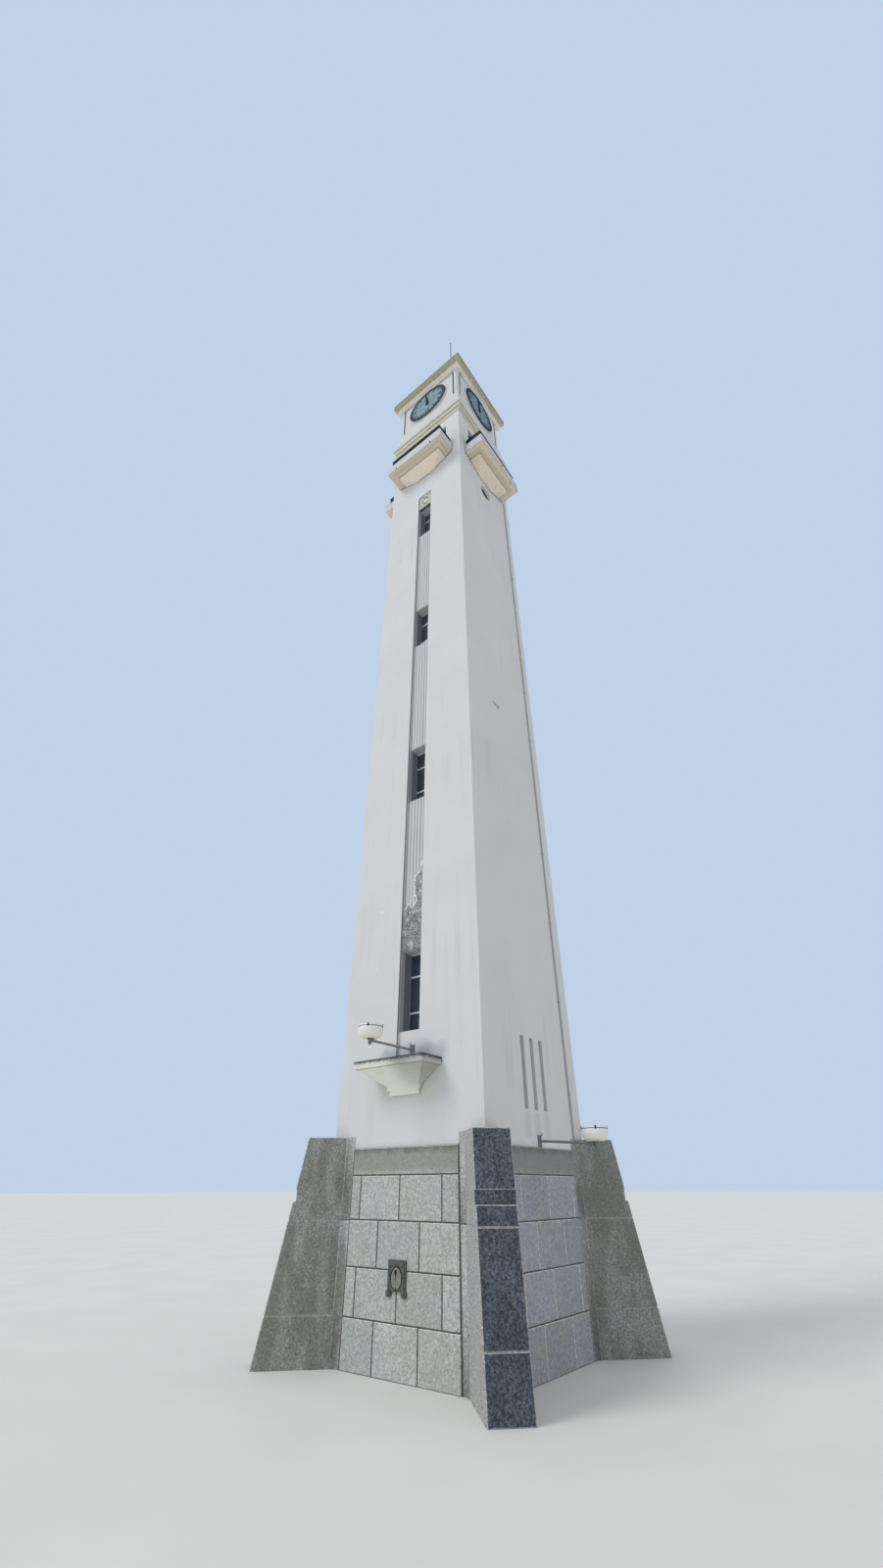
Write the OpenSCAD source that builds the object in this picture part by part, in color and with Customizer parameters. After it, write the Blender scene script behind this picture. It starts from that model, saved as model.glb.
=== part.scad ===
// Clock tower, one half of full size: a tapering square shaft on a stone base
// with four diagonal buttresses, balconies under the clock stage and four dials.
// +Z is up, +X is the side with the three slits, -Y is the side with the window strip.
// The origin is the centre of the footprint at ground level.

/* [Shaft] */
// Half of the shaft's width at ground level
shaft_half = 1149; // [1120:1:1180]
// How far each face leans in for each millimetre of height
shaft_batter = 0.0058; // [0.004:0.0002:0.008]
// Thickness of the shaft's walls
wall_t = 265; // [260:5:300]
// Height of the stone-faced base
base_h = 1976; // [1900:1:2050]
// Height of the string course's underside
string_z = 18306; // [18250:1:18400]

/* [Buttresses] */
// Distance of a buttress's outer face from the axis at ground level
buttress_reach = 2293; // [2200:1:2400]
// How far a buttress's outer face leans in for each millimetre of height
buttress_batter = 0.174; // [0.16:0.002:0.19]
// Width of a buttress
buttress_w = 404; // [360:2:440]
// Height of a buttress's top
buttress_h = 2092; // [2040:1:2160]
// Height of the lower edge of the groove across each buttress
groove_z = 1440; // [1380:1:1500]
// Height of the groove across each buttress
groove_h = 118; // [80:1:140]
// Depth of the groove across each buttress
groove_d = 36; // [20:1:60]
// Radius of the hollow curve between a buttress and the wall
cove_r = 150; // [110:5:180]

/* [Window strip] */
// Width of the recessed strip that holds the windows
strip_w = 372; // [340:2:400]
// Depth of the strip's panels behind the wall face
strip_d = 45; // [30:1:60]
// Height of the top of the strip
strip_top = 15479; // [15440:1:15520]
// Sill height of the first window
sill_1 = 3247; // [3200:1:3300]
// Sill height of the second window
sill_2 = 6766; // [6700:1:6820]
// Sill height of the third window
sill_3 = 10349; // [10300:1:10400]
// Sill height of the fourth window
sill_4 = 13949; // [13900:1:14000]
// Height of a window
window_h = 1054; // [1000:2:1100]
// Depth of a window frame's front behind the wall face
window_set = 218; // [200:1:228]
// Depth of a window frame from front to back
frame_d = 36; // [30:1:46]
// Width of a window frame's bars
frame_w = 22; // [16:1:30]
// Thickness of the window glass
glass_t = 6; // [4:1:10]
// Height of the relief panel over the first window
relief_h = 530; // [500:2:560]
// Depth of a flute in the fluted panels
flute_d = 12; // [8:1:18]
// Width of a flute in the fluted panels
flute_w = 34; // [26:1:40]
// Number of flutes across a fluted panel
flute_count = 6; // [4:1:7]

/* [Side openings] */
// Height of the lower end of the slits
slit_z = 2362; // [2300:1:2420]
// Height of a slit
slit_h = 825; // [780:1:880]
// Width of a slit
slit_w = 86; // [70:1:100]
// Distance between the middles of two slits
slit_pitch = 229; // [200:1:260]
// Height of the middle of the round window
oculus_z = 15826; // [15780:1:15880]
// Radius of the round window
oculus_r = 190; // [160:1:220]
// Depth of the round window's pane behind the wall face
oculus_set = 55; // [40:1:80]

/* [Floors] */
// Thickness of a floor
floor_t = 100; // [80:2:140]
// Height of a window sill over its floor
sill_over_floor = 450; // [400:5:500]

/* [Wall balcony] */
// Height of the top of the small balcony's slab
ledge_z = 2876; // [2840:1:2900]
// Thickness of the small balcony's slab
ledge_t = 88; // [70:1:110]
// Width of the small balcony's slab
ledge_w = 1094; // [1040:2:1150]
// How far the small balcony stands out at the height of its slab
ledge_d = 370; // [340:2:400]
// Height of the slope of a bracket under a slab
corbel_h = 180; // [150:1:220]
// Width of the bracket's foot under the small balcony
ledge_foot_w = 520; // [460:2:580]
// Height of the two fillets under the small balcony
ledge_fillet_h = 104; // [80:2:120]

/* [Balconies] */
// Height of the underside of a balcony's slab
slab_z = 16494; // [16450:1:16540]
// Thickness of a balcony's slab
slab_t = 216; // [190:2:240]
// Width of a balcony
balcony_w = 1648; // [1600:2:1700]
// Distance of a balcony's front edge from the axis
balcony_reach = 1539; // [1500:1:1580]
// Setback of the first step under a slab from the slab's edge
soffit_lip = 105; // [80:5:140]
// Setback of the bracket's top from the slab's edge
soffit_margin = 200; // [170:2:230]
// Height of the two steps between a slab and its bracket
soffit_step = 69; // [50:1:90]
// Width of the bracket's foot under a balcony
corbel_foot_w = 536; // [480:2:600]
// Height of the kerb round a balcony
kerb_h = 108; // [80:2:130]
// Width of the kerb round a balcony
kerb_w = 120; // [114:1:140]
// Setback of a railing from the slab's edge
railing_inset = 62; // [45:1:80]
// Height of a railing's top over the slab
railing_h = 452; // [420:2:480]
// Width of a railing's rails and posts
rail_w = 26; // [22:1:32]
// Width of a railing's bars
bar_w = 18; // [14:1:20]
// Widest distance between the middles of two railing bars
bar_pitch = 32; // [30:1:44]

/* [Balcony doors] */
// Width of a balcony door's opening
door_w = 1280; // [1220:2:1320]
// Height of a balcony door's opening over the balcony
door_h = 1243; // [1200:1:1280]
// Depth of a balcony door behind the wall face
door_set = 70; // [50:1:90]
// Depth of a door frame from front to back
door_frame_d = 40; // [30:1:50]
// Width of a door frame's bars
door_bar = 34; // [26:1:44]

/* [Clock stage] */
// Half of the width of the string course's lowest band
string_half = 1062; // [1052:1:1070]
// Further overhang of each higher band of the string course
string_step = 36; // [30:1:40]
// Height of one band of the string course
string_band = 144; // [130:1:155]
// Half of the width of the plinth under the clock walls
plinth_half = 1043; // [1036:1:1048]
// Height of the plinth under the clock walls
plinth_h = 603; // [570:1:640]
// Half of the width of the clock stage
stage_half = 1009; // [1000:1:1016]
// Thickness of the clock stage's walls
stage_t = 132; // [120:2:140]
// Height of the cornice's underside
cornice_z = 20780; // [20760:1:20820]
// Half of the width of the cornice's lower band
cornice_half = 1115; // [1100:1:1130]
// Height of the cornice's lower band
cornice_low_h = 220; // [200:2:240]
// Half of the width of the cornice's top
cornice_top_half = 1190; // [1175:1:1205]
// Height of the cornice's upper band
cornice_top_h = 190; // [170:2:210]
// Width of the groove beside each corner column
slot_w = 50; // [40:1:60]
// Depth of the groove beside each corner column
slot_d = 70; // [50:1:85]
// Radius of the corner columns' rounded edge
column_r = 60; // [20:2:70]
// Height of the lower end of the grooves over the plinth
slot_rise = 125; // [100:1:150]
// Height of a corner column's capital
capital_h = 200; // [180:2:220]
// Overhang of a corner column's capital
capital_out = 40; // [25:1:50]

/* [Clocks] */
// Height of the clocks' centres
dial_z = 20062; // [20050:1:20070]
// Outer radius of a clock's rim
rim_r = 638; // [620:1:645]
// Width of a clock's rim
rim_w = 106; // [90:1:120]
// Depth of the plaster drum that carries a clock
drum_d = 40; // [30:1:50]
// Thickness of a clock's rim
rim_d = 14; // [10:1:18]
// Thickness of a dial
dial_t = 12; // [8:1:14]
// Radius of the opening behind a dial
dial_hole_r = 500; // [470:1:520]
// Length of a minute hand from the centre
minute_len = 480; // [450:1:500]
// Length of an hour hand from the centre
hour_len = 310; // [280:1:340]
// Thickness of a hand
hand_t = 6; // [4:1:8]
// Radius of the minute arbor
arbor_r = 10; // [8:1:14]
// Outer radius of the hour pipe
pipe_r = 18; // [16:1:24]
// Running clearance of the arbor and of the pipe
running_gap = 0.05; // [0.02:0.01:0.09]
// Angle of the minute hand short of twelve
minute_rest = 6; // [0:1:12]

/* [Lamps and fittings] */
// Length of a lamp's arm from the wall face
arm_len = 725; // [700:1:760]
// Height of the front lamp's arm
front_arm_z = 3010; // [2990:1:3030]
// Height of the side lamp's arm at the wall
side_arm_z = 2035; // [2020:1:2060]
// How far the side lamp's arm droops at its end
arm_droop = 45; // [20:1:60]
// Radius of a lamp's arm
arm_r = 13; // [10:1:18]
// Radius of a lamp bowl's rim
bowl_r = 147; // [135:1:160]
// Height of a lamp bowl
bowl_h = 142; // [130:1:155]
// Thickness of a lamp bowl
bowl_t = 7; // [5:1:10]
// Height of the lightning rod over the roof
rod_h = 1600; // [1400:10:1800]
// Radius of the lightning rod
rod_r = 12; // [8:1:16]
// Radius of the conductor pipe on the side wall
conductor_r = 12; // [8:1:16]
// Distance of the conductor pipe from the middle of the side wall
conductor_y = 884; // [860:1:910]

/* [Hidden] */

PLASTER = "gainsboro";
STONE = "darkgray";
DARK = "darkslategray";
CREAM = "wheat";
SIDES = [0, 90, 180, 270];

sills = [sill_1, sill_2, sill_3, sill_4];
slab_top = slab_z + slab_t;
kerb_top = slab_top + kerb_h;
side_split = slit_z + slit_h + 500;
inner_dial_r = rim_r - rim_w;
string_top = string_z + 3 * string_band;
plinth_top = string_top + plinth_h;
ledge_rim = 30;
ledge_foot_d = 70;
ledge_step = 16;
corbel_foot_d = 12;
cove_inset = 40;
rail_rise = 24;
joint_gap = 0.3;
roof_z = cornice_z + cornice_low_h + cornice_top_h;

lean = atan(shaft_batter);

// Half of the shaft's width at height z
function half(z) = shaft_half - shaft_batter * z;

// Frame on the front wall's face at height z, with +Z outwards and +Y up along the face
module on_front(x, z, depth = 0) {
    translate([x, depth - half(z) - joint_gap, z]) rotate([90 - lean, 0, 0]) children();
}

// Solid between a rectangle [x0, x1, y0, y1] at z0 and another at z1
module loft(z0, a, z1, b) {
    polyhedron(
        points = [[a[0], a[2], z0], [a[1], a[2], z0], [a[1], a[3], z0], [a[0], a[3], z0],
                  [b[0], b[2], z1], [b[1], b[2], z1], [b[1], b[3], z1], [b[0], b[3], z1]],
        faces = [[0, 1, 2, 3], [7, 6, 5, 4], [4, 5, 1, 0], [5, 6, 2, 1], [6, 7, 3, 2], [7, 4, 0, 3]]);
}

// Piece of the front wall between two heights, from x0 to x1, where undef is the corner,
// between two depths behind the wall face
module front_piece(z0, z1, x0, x1, d0, d1) {
    function span(z) = [x0 == undef ? -half(z) : x0, x1 == undef ? half(z) : x1,
                        d0 - half(z), d1 - half(z)];
    loft(z0, span(z0), z1, span(z1));
}

// Piece of the right-hand wall that fits between the front and back walls
module side_piece(z0, z1) {
    function span(z) = [half(z) - wall_t, half(z), wall_t + joint_gap - half(z), half(z) - wall_t - joint_gap];
    loft(z0, span(z0), z1, span(z1));
}

// Solid block of the shaft's outline, made larger by extra all round
module shaft_core(z0, z1, extra) {
    function span(z) = (half(z) + extra) * [-1, 1, -1, 1];
    loft(z0, span(z0), z1, span(z1));
}

// Floor slab that fits the inside of the shaft
module inner_slab(z0, z1) {
    function room(z) = half(z) - wall_t - joint_gap;
    function span(z) = [-room(z), room(z), -room(z), room(z)];
    loft(z0, span(z0), z1, span(z1));
}

// Solid in front of the wall, from a rectangle [x0, x1, y] at z0 to another at z1
module against_wall(z0, a, z1, b) {
    loft(z0, [a[0], a[1], a[2], -half(z0) - joint_gap], z1, [b[0], b[1], b[2], -half(z1) - joint_gap]);
}

// Copies for the front and the back
module front_and_back() {
    for (a = [0, 180]) rotate(a) children();
}

// Copies for the right and the left
module both_sides() {
    for (a = [0, 180]) rotate(a) children();
}

// Base

module ground_floor() {
    color(STONE) inner_slab(0, floor_t);
}

module front_base_wall() {
    color(STONE) front_piece(0, base_h, undef, undef, 0, wall_t);
}

module back_base_wall() {
    color(STONE) rotate(180) front_piece(0, base_h, undef, undef, 0, wall_t);
}

module side_base_walls() {
    color(STONE) both_sides() side_piece(0, base_h);
}

// One buttress along +X, with the groove across its outer face
module buttress() {
    w = buttress_w / 2;
    function reach(z) = buttress_reach - buttress_batter * z;
    difference() {
        loft(0, [shaft_half, reach(0), -w, w], buttress_h, [shaft_half, reach(buttress_h), -w, w]);
        translate([reach(groove_z) - groove_d, -w - 1, groove_z])
            cube([groove_d + 2, buttress_w + 2, groove_h]);
    }
}

// Hollow curve that fills the corner between a buttress's side and the battered wall
module cove() {
    w = buttress_w / 2;
    run = cove_r * tan(22.5);
    corner = [shaft_half * sqrt(2) - w, w];
    on_wall = corner + run * [-sqrt(0.5), sqrt(0.5)];
    inset = [cove_inset, cove_inset];
    rotate([0, -atan(shaft_batter * sqrt(2)), 0]) translate([0, 0, -cove_inset])
        linear_extrude(buttress_h + 2 * cove_inset) difference() {
            polygon([corner - inset, corner + [run, -cove_inset], corner + [run, 0], on_wall, on_wall - inset]);
            translate(corner + cove_r / cos(22.5) * [cos(67.5), sin(67.5)]) circle(r = cove_r, $fn = 64);
        }
}

module buttresses() {
    color("gray") difference() {
        for (a = SIDES) rotate(a + 45) {
            buttress();
            intersection() {
                for (m = [0, 1]) mirror([0, m, 0]) cove();
                translate([0, -shaft_half, 0]) cube([2 * shaft_half, 2 * shaft_half, buttress_h]);
            }
        }
        shaft_core(-1, buttress_h + 1, joint_gap);
    }
}

// Plain tablet with a raised leaf and two round feet
plaque_w = 246;
plaque_h = 320;
plaque_z = 620;
plaque_t = 24;
module plaque() {
    color("dimgray") on_front(-24, plaque_z) {
        translate([-plaque_w / 2, 60, 0]) cube([plaque_w, plaque_h - 60, plaque_t]);
        for (s = [-1, 1]) translate([s * (plaque_w / 2 - 20), 44, 0]) cylinder(r = 34, h = plaque_t);
    }
}

// Shaft

module wall_piers() {
    for (m = [0, 1]) mirror([m, 0, 0])
        front_piece(base_h, slab_z, undef, -strip_w / 2, 0, wall_t);
}

module front_wall_piers() {
    color(PLASTER) wall_piers();
}

module back_wall_piers() {
    color(PLASTER) rotate(180) wall_piers();
}

module strip_piece(z0, z1, d0, d1) {
    front_piece(z0, z1, -strip_w / 2, strip_w / 2, d0, d1);
}

module strip_ends() {
    color(PLASTER) front_and_back() {
        strip_piece(base_h, ledge_z, 0, wall_t);
        strip_piece(ledge_z, sill_1, strip_d, wall_t);
        strip_piece(strip_top, slab_z, 0, wall_t);
    }
}

module fluted_panel(z0, z1) {
    pitch = strip_w / flute_count;
    difference() {
        strip_piece(z0, z1, strip_d, wall_t);
        for (i = [0:flute_count - 1])
            front_piece(z0 - 1, z1 + 1, -strip_w / 2 + pitch * (i + 0.5) - flute_w / 2,
                        -strip_w / 2 + pitch * (i + 0.5) + flute_w / 2, strip_d - 1, strip_d + flute_d);
    }
}

module fluted_panels() {
    color(PLASTER) front_and_back() {
        fluted_panel(sill_1 + window_h + relief_h, sill_2);
        fluted_panel(sill_2 + window_h, sill_3);
        fluted_panel(sill_3 + window_h, sill_4);
    }
}

module relief_panels() {
    color(CREAM) front_and_back() {
        strip_piece(sill_1 + window_h, sill_1 + window_h + relief_h, strip_d, wall_t);
        strip_piece(sill_4 + window_h, strip_top, strip_d, wall_t);
    }
}

// Heights of a window's two cross bars over the sill, as parts of the window's height
bar_low = 0.244;
bar_high = 0.695;
module window_frame(z) {
    back = window_set + frame_d;
    difference() {
        strip_piece(z, z + window_h, window_set, back);
        front_piece(z + frame_w, z + window_h - frame_w, frame_w - strip_w / 2,
                    strip_w / 2 - frame_w, window_set - 1, back + 1);
    }
    for (f = [bar_low, bar_high])
        front_piece(z + f * window_h - frame_w / 2, z + f * window_h + frame_w / 2,
                    frame_w - strip_w / 2, strip_w / 2 - frame_w, window_set, window_set + frame_d / 2);
}

module window_frames() {
    color("silver") front_and_back() for (z = sills) window_frame(z);
}

module window_panes() {
    front = window_set + frame_d / 2 + joint_gap;
    color("steelblue") {
        front_and_back() for (z = sills)
            front_piece(z + frame_w, z + window_h - frame_w, frame_w - strip_w / 2,
                        strip_w / 2 - frame_w, front, front + glass_t);
        both_sides() translate([half(oculus_z) - oculus_set - glass_t, 0, oculus_z])
            rotate([0, 90, 0]) cylinder(r = oculus_r - joint_gap, h = glass_t, $fn = 48);
    }
}

module side_walls_lower() {
    color(PLASTER) both_sides() difference() {
        side_piece(base_h, side_split);
        for (i = [-1:1])
            translate([half(slit_z) - wall_t - 20, i * slit_pitch - slit_w / 2, slit_z])
                cube([wall_t + 40, slit_w, slit_h]);
    }
}

module side_walls_upper() {
    color(PLASTER) both_sides() difference() {
        side_piece(side_split, slab_z);
        translate([half(oculus_z) - wall_t - 20, 0, oculus_z]) rotate([0, 90, 0])
            cylinder(r = oculus_r, h = wall_t + 40, $fn = 48);
    }
}

module floors() {
    color("tan") {
        inner_slab(base_h - floor_t, base_h);
        for (z = [sill_2, sill_3, sill_4]) inner_slab(z - sill_over_floor - floor_t, z - sill_over_floor);
        inner_slab(slab_top - floor_t, slab_top);
    }
}

// Small balcony low on the front

module wall_balcony() {
    w = ledge_w / 2;
    foot = ledge_foot_w / 2;
    fillet = ledge_fillet_h / 2;
    z = ledge_z - ledge_t;
    foot_z = z - corbel_h;
    front = -half(ledge_z) - ledge_d;
    color(CREAM) {
        against_wall(z, [-w, w, front], ledge_z, [-w, w, front]);
        against_wall(foot_z, [-foot, foot, -half(foot_z) - ledge_foot_d],
                     z, [ledge_rim - w, w - ledge_rim, front + ledge_rim]);
        for (i = [0, 1]) {
            in = ledge_rim * i;
            span = [in - foot, foot - in, -half(foot_z) - ledge_foot_d + ledge_step * (i + 1)];
            against_wall(foot_z - fillet * (i + 1), span, foot_z - fillet * i, span);
        }
    }
}

// Lamps: a bracket plate, an arm and a bowl on a short stub

plate_w = 70;
plate_h = 120;
plate_t = 10;
stub_rise = 20;
stub_drop = 40;
stub_r = arm_r + 8;

// Lamp on the front wall at x and z, with the wall's face set back by depth and with
// the arm's end lower than its root by droop
module lamp_arm(x, z, depth, droop) {
    run = arm_len + depth - plate_t / 2;
    tilt = atan(droop / run);
    on_front(x, z - plate_h / 2, depth) translate([-plate_w / 2, 0, 0]) cube([plate_w, plate_h, plate_t]);
    translate([x, depth - half(z) - plate_t / 2, z]) rotate([90 + tilt, 0, 0])
        cylinder(r = arm_r, h = run / cos(tilt));
    translate([x, -half(z) - arm_len, z - droop - stub_drop]) cylinder(r = stub_r, h = stub_drop + stub_rise);
}

// Bowl's outline from its flat foot to its upright rim, as parts of its radius and height
bowl_curve = [[0.55, 0], [0.78, 0.08], [0.92, 0.24], [0.98, 0.4], [1, 0.58]];
bead = 2;
module lamp_bowl(x, z, droop) {
    steps = len(bowl_curve) - 1;
    outside = [for (p = bowl_curve) [p[0] * bowl_r, p[1] * bowl_h]];
    inside = [for (i = [steps:-1:0]) outside[i] + bowl_t * [-i / steps, 1 - i / steps]];
    rim = [[bowl_r, 0.84 * bowl_h], [bowl_r - bead, 0.86 * bowl_h], [bowl_r, 0.88 * bowl_h],
           [bowl_r, bowl_h], [bowl_r - bowl_t, bowl_h]];
    translate([x, -half(z) - arm_len, z - droop + stub_rise]) rotate_extrude($fn = 48)
        polygon(concat([[0, 0]], outside, rim, inside, [[0, bowl_t]]));
}

front_lamp_x = 46;
module lamp_arms() {
    color("gray") {
        lamp_arm(front_lamp_x, front_arm_z, strip_d, 0);
        rotate(90) lamp_arm(0, side_arm_z, 0, arm_droop);
    }
}

module lamp_bowls() {
    color("white") {
        lamp_bowl(front_lamp_x, front_arm_z, 0);
        rotate(90) lamp_bowl(0, side_arm_z, arm_droop);
    }
}

// Pipe of the lightning conductor down the right-hand wall, leaning with the face
module conductor_pipe() {
    foot_z = buttress_h + joint_gap + conductor_r * sin(lean);
    length = (slab_z - foot_z) / cos(lean);
    color("gray") translate([half(foot_z) + conductor_r + joint_gap, conductor_y, foot_z])
        rotate([0, -lean, 0]) cylinder(r = conductor_r, h = length, $fn = 16);
}

// Balconies

module balcony() {
    w = balcony_w / 2;
    foot = corbel_foot_w / 2;
    lip_z = slab_z - soffit_step / 2;
    step_z = slab_z - soffit_step;
    foot_z = step_z - corbel_h;
    function inset(m) = [m - w, w - m, m - balcony_reach];
    slab = inset(0);
    lip = inset(soffit_lip);
    tier = inset(soffit_margin);
    color(CREAM) {
        against_wall(slab_z, slab, slab_top, slab);
        against_wall(lip_z, lip, slab_z, lip);
        against_wall(step_z, tier, lip_z, tier);
        against_wall(foot_z, [-foot, foot, -half(foot_z) - corbel_foot_d], step_z, tier);
        difference() {
            against_wall(slab_top, slab, kerb_top, slab);
            translate([kerb_w - w, kerb_w - balcony_reach, slab_top - 1])
                cube([2 * (w - kerb_w), balcony_reach, kerb_h + 2]);
        }
    }
}

module balcony_front() {
    balcony();
}

module balcony_right() {
    rotate(90) balcony();
}

module balcony_back() {
    rotate(180) balcony();
}

module balcony_left() {
    rotate(270) balcony();
}

// Row of upright bars from a to b with even gaps
module bars(a, b, z0, z1) {
    run = norm(b - a);
    n = ceil(run / bar_pitch);
    for (i = [1:n - 1])
        translate([each (a + (b - a) * i / n - [bar_w / 2, bar_w / 2]), z0]) cube([bar_w, bar_w, z1 - z0]);
}

// Panel of a railing from a to b: a low and a high rail with upright bars between them
module rail_panel(a, b, low, top) {
    r = rail_w;
    d = (b - a) / norm(b - a);
    turn = atan2(d[1], d[0]);
    for (z = [low, top - r]) translate([a[0], a[1], z]) rotate(turn) translate([0, -r / 2, 0]) cube([norm(b - a), r, r]);
    bars(a, b, low + r / 2, top - r / 2);
}

// A railing is a front panel and two side panels that end at its corner posts
module railing() {
    r = rail_w;
    x = balcony_w / 2 - railing_inset - r / 2;
    y = -balcony_reach + railing_inset + r / 2;
    wall = -half(slab_top) - joint_gap;
    low = kerb_top + rail_rise;
    top = slab_top + railing_h;
    rail_panel([-x, y], [0, y], low, top);
    rail_panel([0, y], [x, y], low, top);
    for (s = [-x, 0, x]) translate([s - r / 2, y - r / 2, kerb_top]) cube([r, r, top - kerb_top]);
    for (s = [-x, x]) {
        rail_panel([s, y + r / 2 + joint_gap], [s, wall], low, top);
        translate([s - r / 2, wall - r, kerb_top]) cube([r, r, top - kerb_top]);
    }
}

module railings() {
    color(DARK) for (a = SIDES) rotate(a) railing();
}

// Room behind the balconies

module doorway() {
    translate([-door_w / 2, -shaft_half, slab_top]) cube([door_w, shaft_half, door_h]);
}

module belfry_walls_front_back() {
    color(PLASTER) front_and_back() difference() {
        front_piece(slab_z, string_z, undef, undef, 0, wall_t);
        doorway();
    }
}

module belfry_walls_sides() {
    color(PLASTER) both_sides() difference() {
        side_piece(slab_z, string_z);
        rotate(90) doorway();
    }
}

module balcony_door_frame() {
    back = door_set + door_frame_d;
    w = door_w / 2;
    bay = (door_w - door_bar) / 4;
    difference() {
        front_piece(slab_top, slab_top + door_h, -w, w, door_set, back);
        for (i = [0:3])
            front_piece(slab_top + door_bar, slab_top + door_h - door_bar, -w + door_bar + i * bay,
                        -w + (i + 1) * bay, door_set - 1, back + 1);
    }
}

module balcony_door_frames() {
    color(DARK) for (a = SIDES) rotate(a) balcony_door_frame();
}

module balcony_door_panes() {
    w = door_w / 2;
    bay = (door_w - door_bar) / 4;
    mid = door_set + door_frame_d / 2;
    color("steelblue") for (a = SIDES) rotate(a) for (i = [0:3])
        front_piece(slab_top + door_bar, slab_top + door_h - door_bar, -w + door_bar + i * bay,
                    -w + (i + 1) * bay, mid, mid + glass_t);
}

// Clock stage

module square_slab(h, z0, z1) {
    translate([-h, -h, z0]) cube([2 * h, 2 * h, z1 - z0]);
}

module string_course() {
    room = half(string_z) - wall_t;
    color(CREAM) difference() {
        for (i = [0:2])
            square_slab(string_half + i * string_step, string_z + i * string_band, string_z + (i + 1) * string_band);
        square_slab(room, string_z - 1, string_top - floor_t);
    }
}

// One wall of the clock stage with its plinth and the clock's drum, between the corner columns
module clock_wall() {
    w = stage_half - stage_t;
    difference() {
        union() {
            translate([-w, -stage_half, string_top]) cube([2 * w, stage_t, cornice_z - string_top]);
            translate([-w, -plinth_half, string_top]) cube([2 * w, plinth_half - w, plinth_h]);
            translate([0, -w, dial_z]) rotate([90, 0, 0]) cylinder(r = rim_r, h = stage_t + drum_d, $fn = 96);
        }
        translate([0, 1 - w, dial_z]) rotate([90, 0, 0]) cylinder(r = dial_hole_r, h = stage_t + drum_d + 2, $fn = 64);
        for (s = [-1, 1])
            translate([s * w - slot_w / 2, -stage_half - 1, plinth_top + slot_rise])
                cube([slot_w, slot_d + 1, cornice_z - plinth_top]);
    }
}

module clock_walls_front_back() {
    color(PLASTER) front_and_back() clock_wall();
}

module clock_walls_sides() {
    color(PLASTER) both_sides() rotate(90) clock_wall();
}

// Corner column: a square core with a rounded outer corner, its plinth and its capital
module corner_column() {
    w = stage_half - stage_t;
    r = column_r;
    difference() {
        union() {
            translate([w, w, string_top]) cube([plinth_half - w, plinth_half - w, plinth_h]);
            translate([w, w, plinth_top]) linear_extrude(cornice_z - plinth_top) difference() {
                square(stage_t);
                difference() {
                    translate([stage_t - r, stage_t - r]) square(r + 1);
                    translate([stage_t - r, stage_t - r]) circle(r = r, $fn = 48);
                }
            }
            capital(w);
        }
        for (a = [0, 1]) mirror([a, -a, 0])
            translate([w - slot_w / 2, stage_half - slot_d, plinth_top + slot_rise])
                cube([slot_w, slot_d + capital_out, cornice_z - plinth_top]);
    }
}

module capital(w) {
    c = capital_out;
    foot = stage_half - column_r * 0.25;
    translate([0, 0, cornice_z - capital_h]) intersection() {
        loft(0, [w, foot, w, foot], capital_h, [w, stage_half + c, w, stage_half + c]);
        translate([w, w, 0]) cube([stage_t + c, stage_t + c, capital_h]);
    }
}

module corner_columns() {
    color(PLASTER) for (a = SIDES) rotate(a) corner_column();
}

module cornice() {
    room = stage_half - stage_t;
    low_top = cornice_z + cornice_low_h;
    color(CREAM) difference() {
        union() {
            square_slab(cornice_half, cornice_z, low_top);
            square_slab(cornice_top_half, low_top, roof_z);
        }
        square_slab(room, cornice_z - 1, roof_z - floor_t);
    }
}

rod_x = 820;
rod_y = -1010;
module lightning_rod() {
    color("gray") translate([rod_x, rod_y, roof_z]) {
        cylinder(r = 4 * rod_r, h = 30, $fn = 24);
        cylinder(r = rod_r, h = rod_h, $fn = 16);
    }
}

// Clocks, modelled in a frame with +Z out of the dial and +Y up

module clock_frame(a) {
    rotate(a) translate([0, -stage_half - drum_d, dial_z]) rotate([90, 0, 0]) children();
}

module clock_rims() {
    color(DARK) for (a = SIDES) clock_frame(a) rotate_extrude($fn = 96)
        translate([inner_dial_r, 0]) square([rim_w, rim_d]);
}

module dials() {
    color("powderblue") for (a = SIDES) clock_frame(a) difference() {
        cylinder(r = inner_dial_r - joint_gap, h = dial_t, $fn = 96);
        translate([0, 0, -1]) cylinder(r = pipe_r + running_gap, h = dial_t + 2, $fn = 48);
    }
}

// Flat hand that points up: a round hub, a tapered blade and a short tail
module hand_outline(length, hub, root, tip, tail) {
    circle(r = hub, $fn = 48);
    polygon([[-root / 2, 0], [-tip / 2, length], [tip / 2, length], [root / 2, 0]]);
    polygon([[-root / 2, 0], [root / 2, 0], [root * 0.6, -tail], [-root * 0.6, -tail]]);
}

hour_gap = 6;
hand_gap = 5.5;
pipe_back = 40;
module hour_hand(a) {
    face = dial_t + hour_gap;
    turn = minute_rest / 12;
    color("black") clock_frame(a) rotate(turn) difference() {
        union() {
            translate([0, 0, face]) linear_extrude(hand_t) hand_outline(hour_len, 60, 84, 34, 100);
            translate([0, 0, -pipe_back]) cylinder(r = pipe_r, h = pipe_back + face + hand_t, $fn = 48);
        }
        translate([0, 0, -pipe_back - 1]) cylinder(r = arbor_r + running_gap, h = pipe_back + face + hand_t + 2, $fn = 48);
    }
}

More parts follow.
